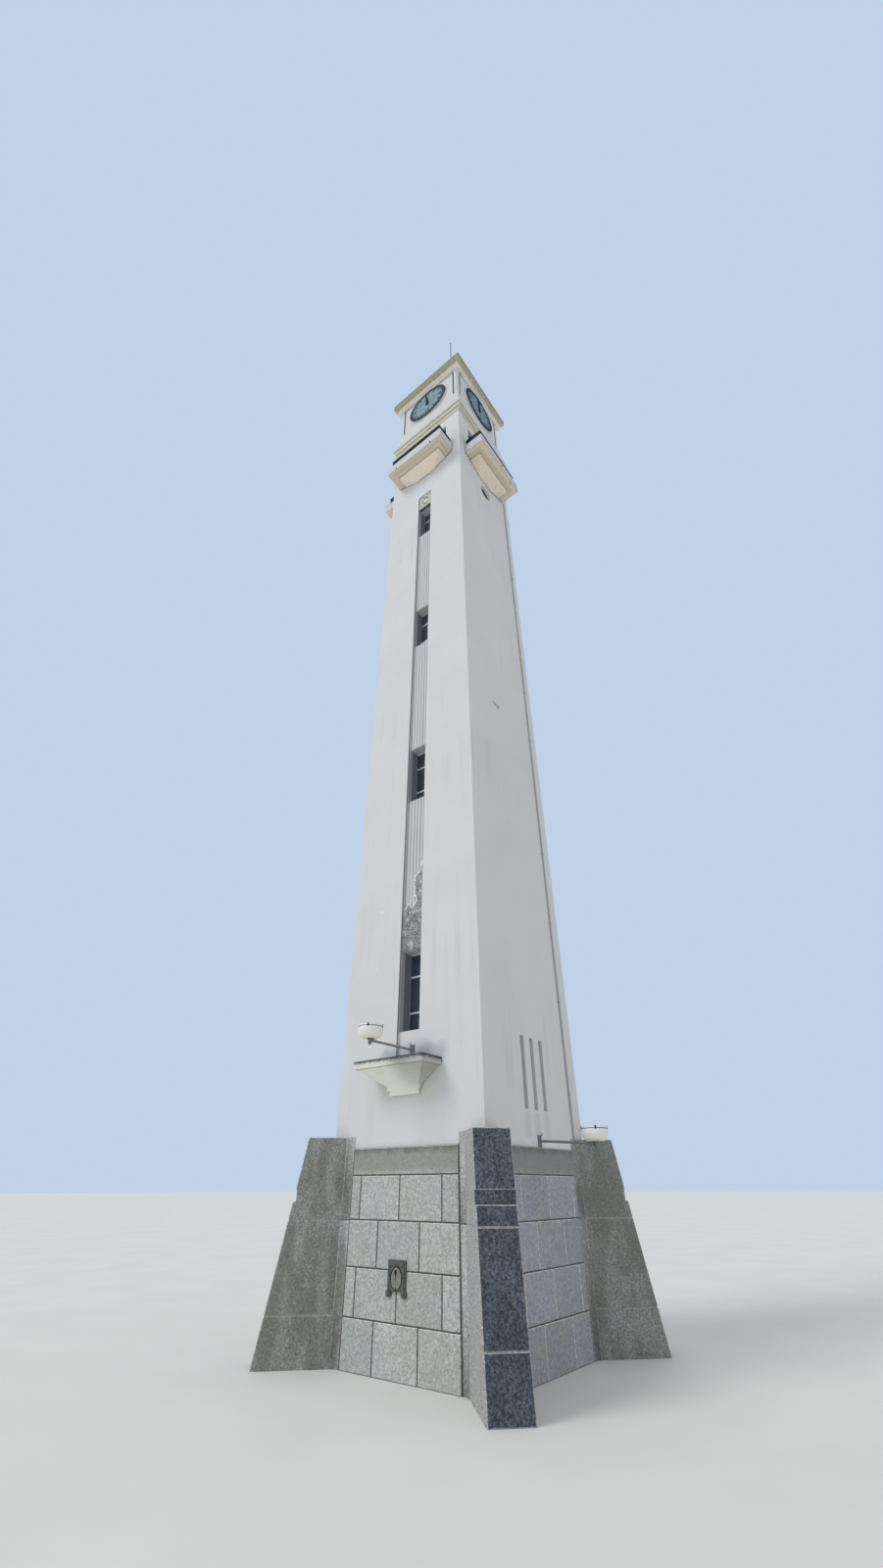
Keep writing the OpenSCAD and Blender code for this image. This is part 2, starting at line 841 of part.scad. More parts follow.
module minute_hand(a) {
    face = dial_t + hour_gap + hand_t + hand_gap;
    color("black") clock_frame(a) rotate(minute_rest) {
        translate([0, 0, face]) linear_extrude(hand_t) hand_outline(minute_len, 44, 58, 26, 120);
        translate([0, 0, -pipe_back]) cylinder(r = arbor_r, h = pipe_back + face + hand_t, $fn = 48);
    }
}

module hour_hand_front() { hour_hand(0); }
module hour_hand_right() { hour_hand(90); }
module hour_hand_back() { hour_hand(180); }
module hour_hand_left() { hour_hand(270); }
module minute_hand_front() { minute_hand(0); }
module minute_hand_right() { minute_hand(90); }
module minute_hand_back() { minute_hand(180); }
module minute_hand_left() { minute_hand(270); }

ground_floor();
front_base_wall();
back_base_wall();
side_base_walls();
buttresses();
plaque();
front_wall_piers();
back_wall_piers();
strip_ends();
fluted_panels();
relief_panels();
window_frames();
window_panes();
side_walls_lower();
side_walls_upper();
floors();
wall_balcony();
lamp_arms();
lamp_bowls();
conductor_pipe();
balcony_front();
balcony_back();
balcony_left();
balcony_right();
railings();
belfry_walls_front_back();
belfry_walls_sides();
balcony_door_frames();
balcony_door_panes();
string_course();
clock_walls_front_back();
clock_walls_sides();
corner_columns();
cornice();
lightning_rod();
clock_rims();
dials();
hour_hand_front();
hour_hand_right();
hour_hand_back();
hour_hand_left();
minute_hand_front();
minute_hand_right();
minute_hand_back();
minute_hand_left();
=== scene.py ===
"""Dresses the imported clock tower: plaster, chip stone, carved panels, clock dials and fittings."""

import logging
import math
from dataclasses import dataclass, field
from enum import Enum
from typing import Callable, Iterable, Optional

import bmesh
import bpy
from mathutils import Matrix, Vector, noise


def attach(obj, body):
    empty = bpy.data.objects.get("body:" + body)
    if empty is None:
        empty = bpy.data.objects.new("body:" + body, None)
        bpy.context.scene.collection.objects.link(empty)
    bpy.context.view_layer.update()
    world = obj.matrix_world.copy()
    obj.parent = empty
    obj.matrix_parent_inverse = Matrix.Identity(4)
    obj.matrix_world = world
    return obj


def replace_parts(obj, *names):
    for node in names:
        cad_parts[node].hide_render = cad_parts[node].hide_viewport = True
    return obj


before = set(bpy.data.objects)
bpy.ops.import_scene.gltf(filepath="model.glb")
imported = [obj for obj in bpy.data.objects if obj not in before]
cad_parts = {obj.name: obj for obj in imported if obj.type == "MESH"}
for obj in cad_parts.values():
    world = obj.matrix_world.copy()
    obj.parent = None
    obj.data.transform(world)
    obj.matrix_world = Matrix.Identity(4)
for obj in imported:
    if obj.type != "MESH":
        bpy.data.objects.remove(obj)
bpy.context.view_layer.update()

LOG = logging.getLogger("clock_tower")
TOWER = "tower"
BUILT: dict[str, bpy.types.Material] = {}
Colour = tuple[float, float, float]
Point = tuple[float, float, float]
Span = tuple[float, float]
Socket = bpy.types.NodeSocket
Verts = list[bmesh.types.BMVert]

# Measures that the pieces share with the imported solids, in metres
GROUND_HALF = 1.149
BATTER = 0.0058
BASE_TOP = 1.976
STAGE_HALF = 1.009
DIAL_HEIGHT = 20.062
DIAL_FRONT = 0.052
BUTTRESS_TOP = 2.092
STRIP_HALF = 0.186
STRIP_DEPTH = 0.045
ROUND_WINDOW = 15.826
SLAB_FOOT = 16.494


def half(z: float) -> float:
    """Half of the shaft's width at height z, in metres."""
    return GROUND_HALF - BATTER * z


def within(value: float, limit: float) -> float:
    """The value held between minus the limit and the limit."""
    return max(-limit, min(limit, value))


class Side(Enum):
    """The four faces of the tower, with the turn in degrees that carries the front there."""

    FRONT = 0
    RIGHT = 90
    BACK = 180
    LEFT = 270

    @property
    def label(self) -> str:
        """Lower-case name of the face."""
        return self.name.lower()

    @property
    def turn(self) -> Matrix:
        """Turn about the tower's axis that carries the front face to this one."""
        return Matrix.Rotation(math.radians(self.value), 4, "Z")

    @property
    def wall(self) -> Matrix:
        """Carries wall coordinates (along, into the wall, up) onto the leaning face.

        Returns:
            The transform.
        """
        lean = Matrix.Identity(4)
        lean[1][2] = BATTER
        lean[1][3] = -GROUND_HALF
        return self.turn @ lean

    @property
    def dial(self) -> Matrix:
        """Carries dial coordinates (right, up, outwards) onto the clock wall."""
        place = Matrix.Translation((0.0, -STAGE_HALF, DIAL_HEIGHT))
        return self.turn @ place @ Matrix.Rotation(math.radians(90), 4, "X")


STRIP_SIDES = (Side.FRONT, Side.BACK)
PLAIN_SIDES = (Side.RIGHT, Side.LEFT)


class Slot(Enum):
    """Material slot names that new pieces carry."""

    PLASTER = "white_plaster"
    CREAM = "cream_plaster"
    STONE = "grey_stone"
    WEATHERED = "weathered_stone"
    IRON = "dark_iron"
    GREY_METAL = "grey_metal"
    ENAMEL = "white_enamel"
    HAND = "hand_paint"


# Node graphs


class Graph:
    """Short calls that add and link nodes in one node tree."""

    def __init__(self, tree: bpy.types.NodeTree) -> None:
        """Starts on a material's or a group's node tree."""
        self.tree = tree

    def put(self, into: Socket, value: object) -> None:
        """Links a socket, or sets a plain value.

        Args:
            into: The input socket.
            value: An output socket or a number or tuple.
        """
        if isinstance(value, bpy.types.NodeSocket):
            self.tree.links.new(value, into)
        elif isinstance(value, (tuple, list, Vector)) and into.type == "RGBA" and len(value) == 3:
            into.default_value = (*value, 1.0)
        else:
            into.default_value = value

    def add(self, kind: str, inputs: Optional[dict] = None, **settings: object) -> bpy.types.Node:
        """Adds a node.

        Args:
            kind: The node's type.
            inputs: Values or sockets by input name or index.
            settings: Node properties.

        Returns:
            The new node.
        """
        node = self.tree.nodes.new(kind)
        for name, value in settings.items():
            setattr(node, name, value)
        for name, value in (inputs or {}).items():
            self.put(node.inputs[name], value)
        return node

    def math(self, operation: str, a: object, b: object = 0.0) -> Socket:
        """Arithmetic on two numbers."""
        return self.add("ShaderNodeMath", {0: a, 1: b}, operation=operation).outputs[0]

    def times(self, a: object, b: object) -> Socket:
        """Product of two numbers."""
        return self.math("MULTIPLY", a, b)

    def vector(self, operation: str, a: object, b: object = (0.0, 0.0, 0.0)) -> Socket:
        """Arithmetic on two vectors."""
        return self.add("ShaderNodeVectorMath", {0: a, 1: b}, operation=operation).outputs[0]

    def stretched(self, vector: object, scale: tuple[float, float, float]) -> Socket:
        """The vector scaled by axis."""
        return self.vector("MULTIPLY", vector, scale)

    def parts(self, vector: object) -> bpy.types.bpy_prop_collection:
        """The vector's X, Y and Z."""
        return self.add("ShaderNodeSeparateXYZ", {"Vector": vector}).outputs

    def normal(self) -> Socket:
        """The surface's direction in object coordinates."""
        return self.add("ShaderNodeTexCoord").outputs["Normal"]

    def sideways(self) -> Socket:
        """How far the surface faces right or left, from 0 to 1."""
        return self.parts(self.vector("ABSOLUTE", self.normal()))["X"]

    def remap(self, value: object, low: float, high: float, start: float = 0.0, end: float = 1.0) -> Socket:
        """Carries low..high smoothly to start..end, held at the ends.

        Args:
            value: The input value.
            low: Input where the result is start.
            high: Input where the result is end.
            start: Result at low.
            end: Result at high.

        Returns:
            The remapped value.
        """
        node = self.add(
            "ShaderNodeMapRange",
            {"Value": value, "From Min": low, "From Max": high, "To Min": start, "To Max": end},
            interpolation_type="SMOOTHSTEP",
        )
        return node.outputs["Result"]

    def mix(self, factor: object, a: object, b: object, blend: str = "MIX") -> Socket:
        """Mixes two colours.

        Args:
            factor: Share of b.
            a: First colour.
            b: Second colour.
            blend: The blending mode.

        Returns:
            The mixed colour.
        """
        node = self.add("ShaderNodeMix", data_type="RGBA", blend_type=blend, clamp_factor=True)
        self.put(node.inputs[0], factor)
        self.put(node.inputs[6], a)
        self.put(node.inputs[7], b)
        return node.outputs[2]

    def tinted(self, a: object, b: object) -> Socket:
        """Two colours multiplied."""
        return self.mix(1.0, a, b, "MULTIPLY")

    def grey(self, level: Socket) -> Socket:
        """A grey of the given level."""
        return self.add("ShaderNodeCombineColor", {0: level, 1: level, 2: level}).outputs["Color"]

    def noise(self, vector: object, scale: object, detail: float = 2.0, rough: float = 0.5) -> Socket:
        """Soft noise.

        Args:
            vector: Where it is read.
            scale: Waves per metre.
            detail: Octaves.
            rough: Strength of the finer octaves.

        Returns:
            A value around one half.
        """
        node = self.add(
            "ShaderNodeTexNoise",
            {"Vector": vector, "Scale": scale, "Detail": detail, "Roughness": rough},
        )
        return node.outputs["Fac"]

    def swing(self, vector: object, scale: object, detail: float) -> Socket:
        """Noise that differs by axis, around one half."""
        node = self.add("ShaderNodeTexNoise", {"Vector": vector, "Scale": scale, "Detail": detail})
        return node.outputs["Color"]


def new_group(name: str, inputs: dict, outputs: tuple) -> tuple[Graph, bpy.types.Node, bpy.types.Node]:
    """Starts a shader node group with named sockets.

    Args:
        name: The group's name.
        inputs: Start value by input name. A tuple makes a vector socket, a number a plain one.
        outputs: Names of the plain outputs.

    Returns:
        The group's graph with its input and output nodes.
    """
    tree = bpy.data.node_groups.new(name, "ShaderNodeTree")
    for label, start in inputs.items():
        kind = "NodeSocketVector" if isinstance(start, tuple) else "NodeSocketFloat"
        socket = tree.interface.new_socket(label, in_out="INPUT", socket_type=kind)
        socket.default_value = start
    for label in outputs:
        tree.interface.new_socket(label, in_out="OUTPUT", socket_type="NodeSocketFloat")
    return Graph(tree), tree.nodes.new("NodeGroupInput"), tree.nodes.new("NodeGroupOutput")


class Effects:
    """Effects that several finishes share, each built once as a node group."""

    def __init__(self) -> None:
        """Builds the groups."""
        self.weather = self._weather()
        self.soft_box = self._soft_box()
        self.chips = self._chips()

    @staticmethod
    def _weather() -> bpy.types.NodeTree:
        """Cloudy tone and rain streaks.

        Returns:
            A group with a Tone around 1, a Streak mask and a fine grain height.
        """
        inputs = {
            "Vector": (0.0, 0.0, 0.0), "Cloud Scale": 1.2, "Cloud Depth": 0.08,
            "Streak Scale": 9.0, "Grain Scale": 240.0,
        }
        graph, source, sink = new_group("weather", inputs, ("Tone", "Streak", "Grain"))
        given = source.outputs
        place = given["Vector"]
        cloud = graph.noise(place, given["Cloud Scale"], 5.0)
        depth = graph.times(graph.math("SUBTRACT", cloud, 0.5), 2.0)
        depth = graph.times(depth, given["Cloud Depth"])
        graph.put(sink.inputs["Tone"], graph.math("ADD", 1.0, depth))
        tall = graph.stretched(place, (1.0, 1.0, 0.035))
        streak = graph.remap(graph.noise(tall, given["Streak Scale"], 4.0), 0.50, 0.72)
        broken = graph.remap(graph.noise(place, 0.8, 3.0), 0.42, 0.66)
        graph.put(sink.inputs["Streak"], graph.times(streak, broken))
        graph.put(sink.inputs["Grain"], graph.noise(place, given["Grain Scale"], 3.0))
        return graph.tree

    @staticmethod
    def _soft_box() -> bpy.types.NodeTree:
        """A mask that is 1 inside a box and fades outside, with a ragged edge.

        Returns:
            A group with the Mask.
        """
        inputs = {
            "Vector": (0.0, 0.0, 0.0), "Centre": (0.0, 0.0, 0.0), "Half Size": (0.1, 0.1, 0.1),
            "Fade": 0.1, "Ragged": 0.0, "Ragged Scale": 6.0,
        }
        graph, source, sink = new_group("soft_box", inputs, ("Mask",))
        given = source.outputs
        place = given["Vector"]
        swing = graph.vector("SUBTRACT", graph.swing(place, given["Ragged Scale"], 5.0), (0.5, 0.5, 0.5))
        swing = graph.vector("MULTIPLY", swing, given["Ragged"])
        away = graph.vector("SUBTRACT", graph.vector("ADD", place, swing), given["Centre"])
        away = graph.vector("SUBTRACT", graph.vector("ABSOLUTE", away), given["Half Size"])
        over = graph.vector("MAXIMUM", away, (0.0, 0.0, 0.0))
        distance = graph.add("ShaderNodeVectorMath", {0: over}, operation="LENGTH").outputs["Value"]
        ratio = graph.math("DIVIDE", distance, given["Fade"])
        graph.put(sink.inputs["Mask"], graph.remap(ratio, 1.0, 0.0))
        return graph.tree

    @staticmethod
    def _chips() -> bpy.types.NodeTree:
        """Stone chips set in mortar.

        Returns:
            A group with the chips' Tone from 0 to 1, their Height, and larger Patch and Mottle clouds.
        """
        inputs = {"Vector": (0.0, 0.0, 0.0), "Chips": 90.0, "Patch Scale": 3.0}
        graph, source, sink = new_group("chips", inputs, ("Tone", "Height", "Patch", "Mottle"))
        given = source.outputs
        place = given["Vector"]
        cell = graph.add(
            "ShaderNodeTexVoronoi", {"Vector": place, "Scale": given["Chips"]}, feature="F1"
        ).outputs
        tone = graph.add("ShaderNodeSeparateColor", {"Color": cell["Color"]}).outputs[0]
        fine = graph.noise(place, 60.0, 4.0, 0.7)
        graph.put(sink.inputs["Tone"], graph.math("ADD", graph.times(tone, 0.55), graph.times(fine, 0.45)))
        graph.put(sink.inputs["Height"], graph.remap(cell["Distance"], 0.1, 0.6, 1.0, 0.0))
        graph.put(sink.inputs["Patch"], graph.noise(place, given["Patch Scale"], 4.0))
        graph.put(sink.inputs["Mottle"], graph.noise(place, 42.0, 4.0, 0.75))
        return graph.tree


EFFECTS = Effects()


# Kinds of finish


@dataclass(frozen=True)
class Stain:
    """One stained or bare place on a finish, as a soft box in the tower's frame."""

    centre: Point
    size: Point
    colour: Colour
    strength: float
    fade: float = 0.15
    ragged: float = 0.1
    scale: float = 6.0


@dataclass(frozen=True)
class Level:
    """Colours of a moulding from a height upwards, on its faces and on its underside."""

    foot: float
    colour: Colour
    under: Colour


class Skin(Graph):
    """The node graph of one material, with its shader's inputs and its object coordinates."""

    def __init__(self, name: str) -> None:
        """Starts a material.

        Args:
            name: The material's name.
        """
        self.material = bpy.data.materials.new(name)
        self.material.use_nodes = True
        super().__init__(self.material.node_tree)
        self.shader = self.tree.nodes["Principled BSDF"].inputs
        self.place = self.add("ShaderNodeTexCoord").outputs["Object"]

    def cloud(self, scale: float, detail: float = 2.0, rough: float = 0.5) -> Socket:
        """Soft noise in object coordinates."""
        return self.noise(self.place, scale, detail, rough)

    def along(self) -> Socket:
        """Distance to the right or left of the tower's middle."""
        return self.math("ABSOLUTE", self.parts(self.place)["X"])

    def wall_face(self, height: Socket) -> Socket:
        """Distance of the leaning wall's face from the axis at a height."""
        return self.math("SUBTRACT", GROUND_HALF, self.times(height, BATTER))

    def weather(self, depth: float, scale: float = 1.2) -> bpy.types.bpy_prop_collection:
        """The shared weather effect's outputs, for clouds of some depth and number per metre."""
        inputs = {"Vector": self.place, "Cloud Depth": depth, "Cloud Scale": scale}
        return self.add("ShaderNodeGroup", inputs, node_tree=EFFECTS.weather).outputs

    def stained(self, colour: Socket, stains: Iterable[Stain]) -> Socket:
        """Lays stains over a colour.

        Args:
            colour: The clean colour.
            stains: The stained places.

        Returns:
            The stained colour.
        """
        for stain in stains:
            inputs = {
                "Vector": self.place, "Centre": stain.centre, "Half Size": stain.size,
                "Fade": stain.fade, "Ragged": stain.ragged, "Ragged Scale": stain.scale,
            }
            box = self.add("ShaderNodeGroup", inputs, node_tree=EFFECTS.soft_box)
            colour = self.mix(self.times(box.outputs["Mask"], stain.strength), colour, stain.colour)
        return colour

    def coat(
        self, colour: Socket, rough: Socket, height: Socket, depth: float, strength: float = 1.0
    ) -> None:
        """Links the finished pattern to the shader.

        Args:
            colour: The surface's colour.
            rough: Its roughness.
            height: The pattern that raises it.
            depth: Height of that pattern in metres.
            strength: Strength of the raising.
        """
        self.put(self.shader["Base Color"], colour)
        self.put(self.shader["Roughness"], rough)
        inputs = {"Height": height, "Distance": depth, "Strength": strength}
        self.put(self.shader["Normal"], self.add("ShaderNodeBump", inputs).outputs["Normal"])


@dataclass(frozen=True)
class Finish:
    """A procedural surface finish."""

    name: str
    colour: Colour
    roughness: float = 0.7
    metallic: float = 0.0
    gloss: float = 0.5

    def material(self) -> bpy.types.Material:
        """Builds the material, or gives the one that was built before.

        Returns:
            The material.
        """
        if self.name not in BUILT:
            skin = Skin(self.name)
            BUILT[self.name] = skin.material
            skin.put(skin.shader["Metallic"], self.metallic)
            skin.put(skin.shader["Specular IOR Level"], self.gloss)
            self.dress(skin)
        return BUILT[self.name]

    def dress(self, skin: Skin) -> None:
        """Links the finish's pattern to the shader of a material's graph."""
        raise NotImplementedError


@dataclass(frozen=True)
class Plaster(Finish):
    """Painted plaster with clouds, rain streaks, fine grain and stains."""

    streak_colour: Colour = (0.42, 0.42, 0.40)
    streak_strength: float = 0.22
    cloud_depth: float = 0.07
    levels: tuple[Level, ...] = ()
    stains: tuple[Stain, ...] = ()
    grain_depth: float = 0.002

    def dress(self, skin: Skin) -> None:
        """Links the plaster's pattern to the shader.

        Args:
            skin: The material's graph.
        """
        effect = skin.weather(self.cloud_depth)
        colour = skin.tinted(self.base(skin), skin.grey(effect["Tone"]))
        colour = skin.mix(skin.times(effect["Streak"], self.streak_strength), colour, self.streak_colour)
        colour = skin.stained(colour, self.stains)
        rough = skin.remap(effect["Grain"], 0.3, 0.7, self.roughness - 0.06, self.roughness + 0.06)
        skin.coat(colour, rough, effect["Grain"], self.grain_depth)

    def base(self, skin: Skin) -> object:
        """Gives the clean colour: by height and by whether the surface faces down, if there are levels.

        Args:
            skin: The material's graph.

        Returns:
            The colour before weathering.
        """
        if not self.levels:
            return self.colour
        height = skin.parts(skin.place)["Z"]
        facing = skin.parts(skin.normal())["Z"]
        colour: object = self.colour
        under: object = self.colour
        for level in self.levels:
            above = skin.math("GREATER_THAN", height, level.foot - 0.003)
            colour = skin.mix(above, colour, level.colour)
            under = skin.mix(above, under, level.under)
        return skin.mix(skin.remap(facing, -0.3, -0.6), colour, under)


@dataclass(frozen=True)
class BracketPlaster(Plaster):
    """Plaster of a bracket: painted shade on its sides, and a dark band along the crease where it meets the
    wall that is painted shade with dirt.
    """

    side_from: float = 9.0
    side_to: float = 9.0
    side_shade_colour: Colour = (0.6, 0.55, 0.48)
    crease_shade_and_dirt: Colour = (0.16, 0.17, 0.15)
    dirt_strength: float = 0.85
    crease_shade_and_dirt_wide: float = 0.022

    def base(self, skin: Skin) -> object:
        """Gives the clean colour with painted shade on the sides and painted shade with dirt along the wall.

        Args:
            skin: The material's graph.

        Returns:
            The colour before weathering.
        """
        colour = super().base(skin)
        # Painted shade: the sides take a darker colour.
        height = skin.parts(skin.place)["Z"]
        above = skin.math("GREATER_THAN", height, self.side_from)
        between = skin.times(above, skin.math("LESS_THAN", height, self.side_to))
        side = skin.times(skin.remap(skin.sideways(), 0.3, 0.6), between)
        colour = skin.mix(side, colour, self.side_shade_colour)
        # Painted shade with dirt: darker along the crease where the bracket meets the wall.
        flat = skin.parts(skin.vector("ABSOLUTE", skin.place))
        out = skin.math("MAXIMUM", flat["X"], flat["Y"])
        away = skin.math("SUBTRACT", out, skin.wall_face(height))
        wobble = skin.times(skin.cloud(11.0, 4.0, 0.6), self.crease_shade_and_dirt_wide * 1.6)
        dirt = skin.remap(skin.math("SUBTRACT", away, wobble), self.crease_shade_and_dirt_wide * 0.4, -self.crease_shade_and_dirt_wide * 0.5)
        return skin.mix(skin.times(dirt, self.dirt_strength), colour, self.crease_shade_and_dirt)


@dataclass(frozen=True)
class RecessPlaster(Plaster):
    """Plaster of the front and back walls whose colour changes with the depth behind the face."""

    steps: tuple[tuple[float, Colour], ...] = ()
    reach: float = 0.19

    def base(self, skin: Skin) -> object:
        """Gives the clean colour by depth behind the leaning face, within the strip's reach.

        Args:
            skin: The material's graph.

        Returns:
            The colour before weathering.
        """
        spot = skin.parts(skin.place)
        depth = skin.math("SUBTRACT", skin.wall_face(spot["Z"]), skin.math("ABSOLUTE", spot["Y"]))
        colour: object = self.steps[0][1]
        for (near, _), (far, tone) in zip(self.steps, self.steps[1:]):
            colour = skin.mix(skin.remap(depth, near, far), colour, tone)
        inside = skin.math("LESS_THAN", skin.along(), self.reach)
        return skin.mix(inside, self.colour, colour)


@dataclass(frozen=True)
class BrokenRender(Plaster):
    """Bare render where carving and paint have come off: grey lumps, pale rests and black cracks."""

    pale: Colour = (0.66, 0.67, 0.68)
    crack: Colour = (0.055, 0.060, 0.065)
    lumps: float = 26.0

    def base(self, skin: Skin) -> object:
        """Gives the lumps' colour with pale rests and cracks between them.

        Args:
            skin: The material's graph.

        Returns:
            The colour before weathering.
        """
        swing = skin.stretched(skin.swing(skin.place, 22.0, 3.0), (0.05, 0.05, 0.05))
        inputs = {"Vector": skin.vector("ADD", skin.place, swing), "Scale": self.lumps}
        cells = skin.add("ShaderNodeTexVoronoi", inputs, feature="DISTANCE_TO_EDGE")
        cracks = skin.remap(cells.outputs["Distance"], 0.11, 0.02)
        some = skin.remap(skin.cloud(13.0, 3.0, 0.6), 0.42, 0.56)
        rest = skin.remap(skin.cloud(16.0), 0.55, 0.64)
        colour = skin.mix(rest, self.colour, self.pale)
        return skin.mix(skin.times(cracks, some), colour, self.crack)


@dataclass(frozen=True)
class ChipStone(Finish):
    """Grey artificial stone with dark and pale chips, with painted shade on faces turned away from the light
    where set.
    """

    dark: Colour = (0.37, 0.375, 0.37)
    pale: Colour = (0.63, 0.63, 0.61)
    patch_strength: float = 0.22
    chips: float = 150.0
    chip_depth: float = 0.003
    tint: float = 0.28
    outer_dark: bool = False
    painted_shade: float = 0.0
    painted_shade_from: float = 0.80
    mottle: float = 0.30
    side_shade_tint: Colour = (1.0, 1.0, 1.0)
    stains: tuple[Stain, ...] = ()
    green: Colour = (0.41, 0.42, 0.34)
    blue: Colour = (0.42, 0.46, 0.51)
    dirt_and_shade_tint: Colour = (0.275, 0.330, 0.440)
    painted_shade_colour: Colour = (0.125, 0.125, 0.105)
    painted_shade_way: Point = (0.75, -0.66, 0.0)

    def dress(self, skin: Skin) -> None:
        """Links the stone's pattern to the shader.

        Args:
            skin: The material's graph.
        """
        inputs = {"Vector": skin.place, "Chips": self.chips}
        chips = skin.add("ShaderNodeGroup", inputs, node_tree=EFFECTS.chips).outputs
        level = skin.remap(chips["Mottle"], 0.32, 0.68, 1.0 - self.mottle, 1.0 + self.mottle)
        mottle = skin.grey(level)
        colour = skin.tinted(self._chipped(skin, chips), mottle)
        # Painted shade: faces turned right or left are tinted darker and bluer.
        if min(self.side_shade_tint) < 1.0:
            side = skin.remap(skin.sideways(), 0.75, 0.95)
            colour = skin.mix(side, colour, skin.tinted(colour, self.side_shade_tint))
        shade = skin.cloud(2.1, 3.0)
        colour = skin.mix(skin.remap(shade, 0.50, 0.66, 0.0, self.tint), colour, self.green)
        colour = skin.mix(skin.remap(shade, 0.50, 0.36, 0.0, self.tint), colour, self.blue)
        # Painted shade: faces turned away from the light darken, in upright patches.
        if self.painted_shade:
            colour = skin.mix(self._painted_shade_mask(skin), colour, self.painted_shade_colour)
        # Painted shade with dirt: the buttresses' outer diagonal faces are darkened and blued.
        if self.outer_dark:
            dirt_and_shade_tone = skin.tinted(skin.tinted(colour, mottle), self.dirt_and_shade_tint)
            colour = skin.mix(self._outer(skin), colour, dirt_and_shade_tone)
        colour = skin.stained(colour, self.stains)
        rough = skin.remap(chips["Tone"], 0.2, 0.8, self.roughness + 0.08, self.roughness - 0.08)
        skin.coat(colour, rough, chips["Height"], self.chip_depth, 0.6)

    def _chipped(self, skin: Skin, chips: bpy.types.bpy_prop_collection) -> Socket:
        """Gives the chips' colours under clouds and dark patches.

        Args:
            skin: The material's graph.
            chips: Outputs of the shared chips effect.

        Returns:
            The clean stone's colour.
        """
        colour = skin.mix(skin.remap(chips["Tone"], 0.26, 0.42), self.dark, self.colour)
        colour = skin.mix(skin.remap(chips["Tone"], 0.62, 0.80), colour, self.pale)
        patch = skin.times(skin.remap(chips["Patch"], 0.45, 0.70), self.patch_strength)
        colour = skin.mix(patch, colour, self.dark)
        return skin.tinted(colour, skin.grey(skin.weather(0.12, 3.0)["Tone"]))

    def _painted_shade_mask(self, skin: Skin) -> Socket:
        """Marks the faces turned away from the light, in upright patches, for painted shade.

        Args:
            skin: The material's graph.

        Returns:
            A mask from 0 to the painted shade's strength.
        """
        inputs = {0: skin.normal(), 1: self.painted_shade_way}
        toward = skin.add("ShaderNodeVectorMath", inputs, operation="DOT_PRODUCT").outputs["Value"]
        faces = skin.remap(toward, self.painted_shade_from, self.painted_shade_from + 0.15)
        cloud = skin.noise(skin.stretched(skin.place, (1.0, 1.0, 0.35)), 5.0, 4.0, 0.6)
        patches = skin.remap(cloud, 0.36, 0.62, 0.45, 1.0)
        return skin.times(skin.times(faces, patches), self.painted_shade)

    @staticmethod
    def _outer(skin: Skin) -> Socket:
        """Marks the faces that look diagonally away from the tower.

        Args:
            skin: The material's graph.

        Returns:
            A mask from 0 to 1.
        """
        normal = skin.normal()
        flat = skin.parts(skin.vector("ABSOLUTE", normal))
        spot = skin.parts(skin.vector("MULTIPLY", normal, skin.place))
        diagonal = skin.remap(skin.math("MINIMUM", flat["X"], flat["Y"]), 0.60, 0.66)
        return skin.times(diagonal, skin.remap(skin.math("ADD", spot["X"], spot["Y"]), 1.3, 1.5))


@dataclass(frozen=True)
class Paint(Finish):
    """Weathered paint on metal or wood, with dust in the hollows of its grain."""

    worn: Colour = (0.35, 0.33, 0.30)
    wear: float = 0.25
    scale: float = 14.0

    def dress(self, skin: Skin) -> None:
        """Links the paint's pattern to the shader.

        Args:
            skin: The material's graph.
        """
        cloud = skin.cloud(self.scale, 5.0, 0.6)
        share = skin.times(skin.remap(cloud, 0.50, 0.75), self.wear)
        colour = self.overlaid(skin, skin.mix(share, self.colour, self.worn))
        rough = skin.remap(cloud, 0.3, 0.7, self.roughness - 0.08, self.roughness + 0.12)
        skin.coat(colour, rough, skin.cloud(self.scale * 12.0, 3.0), 0.0006)

    def overlaid(self, skin: Skin, colour: Socket) -> Socket:
        """Gives the paint's colour, which stays as it is on most things."""
        return colour


@dataclass(frozen=True)
class SashPaint(Paint):
    """Paint of the window frames, with painted shade on the upright posts beside the glass."""

    post_shade: Colour = (0.20, 0.22, 0.24)
    post_shade_from: float = 0.1635

    def overlaid(self, skin: Skin, colour: Socket) -> Socket:
        """Gives the paint's colour with painted shade on the posts."""
        return skin.mix(skin.math("GREATER_THAN", skin.along(), self.post_shade_from), colour, self.post_shade)


@dataclass(frozen=True)
class WindowGlass(Finish):
    """Dark window glass with faint dirt, black and dull in the round windows of the side walls."""

    round_from: float = 0.9
    dirt: Colour = (0.10, 0.12, 0.15)
    dirt_strength: float = 0.5
    dull_colour: Colour = (0.006, 0.008, 0.008)
    dull_roughness: float = 0.8

    def dress(self, skin: Skin) -> None:
        """Links the glass's pattern to the shader.

        Args:
            skin: The material's graph.
        """
        dirt = skin.cloud(3.0, 5.0, 0.6)
        share = skin.times(skin.remap(dirt, 0.45, 0.75), self.dirt_strength)
        colour = skin.mix(share, self.colour, self.dirt)
        dull = skin.math("GREATER_THAN", skin.along(), self.round_from)
        rough = skin.remap(dirt, 0.3, 0.8, self.roughness, self.roughness + 0.2)
        rough = skin.math("MAXIMUM", rough, skin.times(dull, self.dull_roughness))
        skin.put(skin.shader["Base Color"], skin.mix(dull, colour, self.dull_colour))
        skin.put(skin.shader["Roughness"], rough)


# Finishes


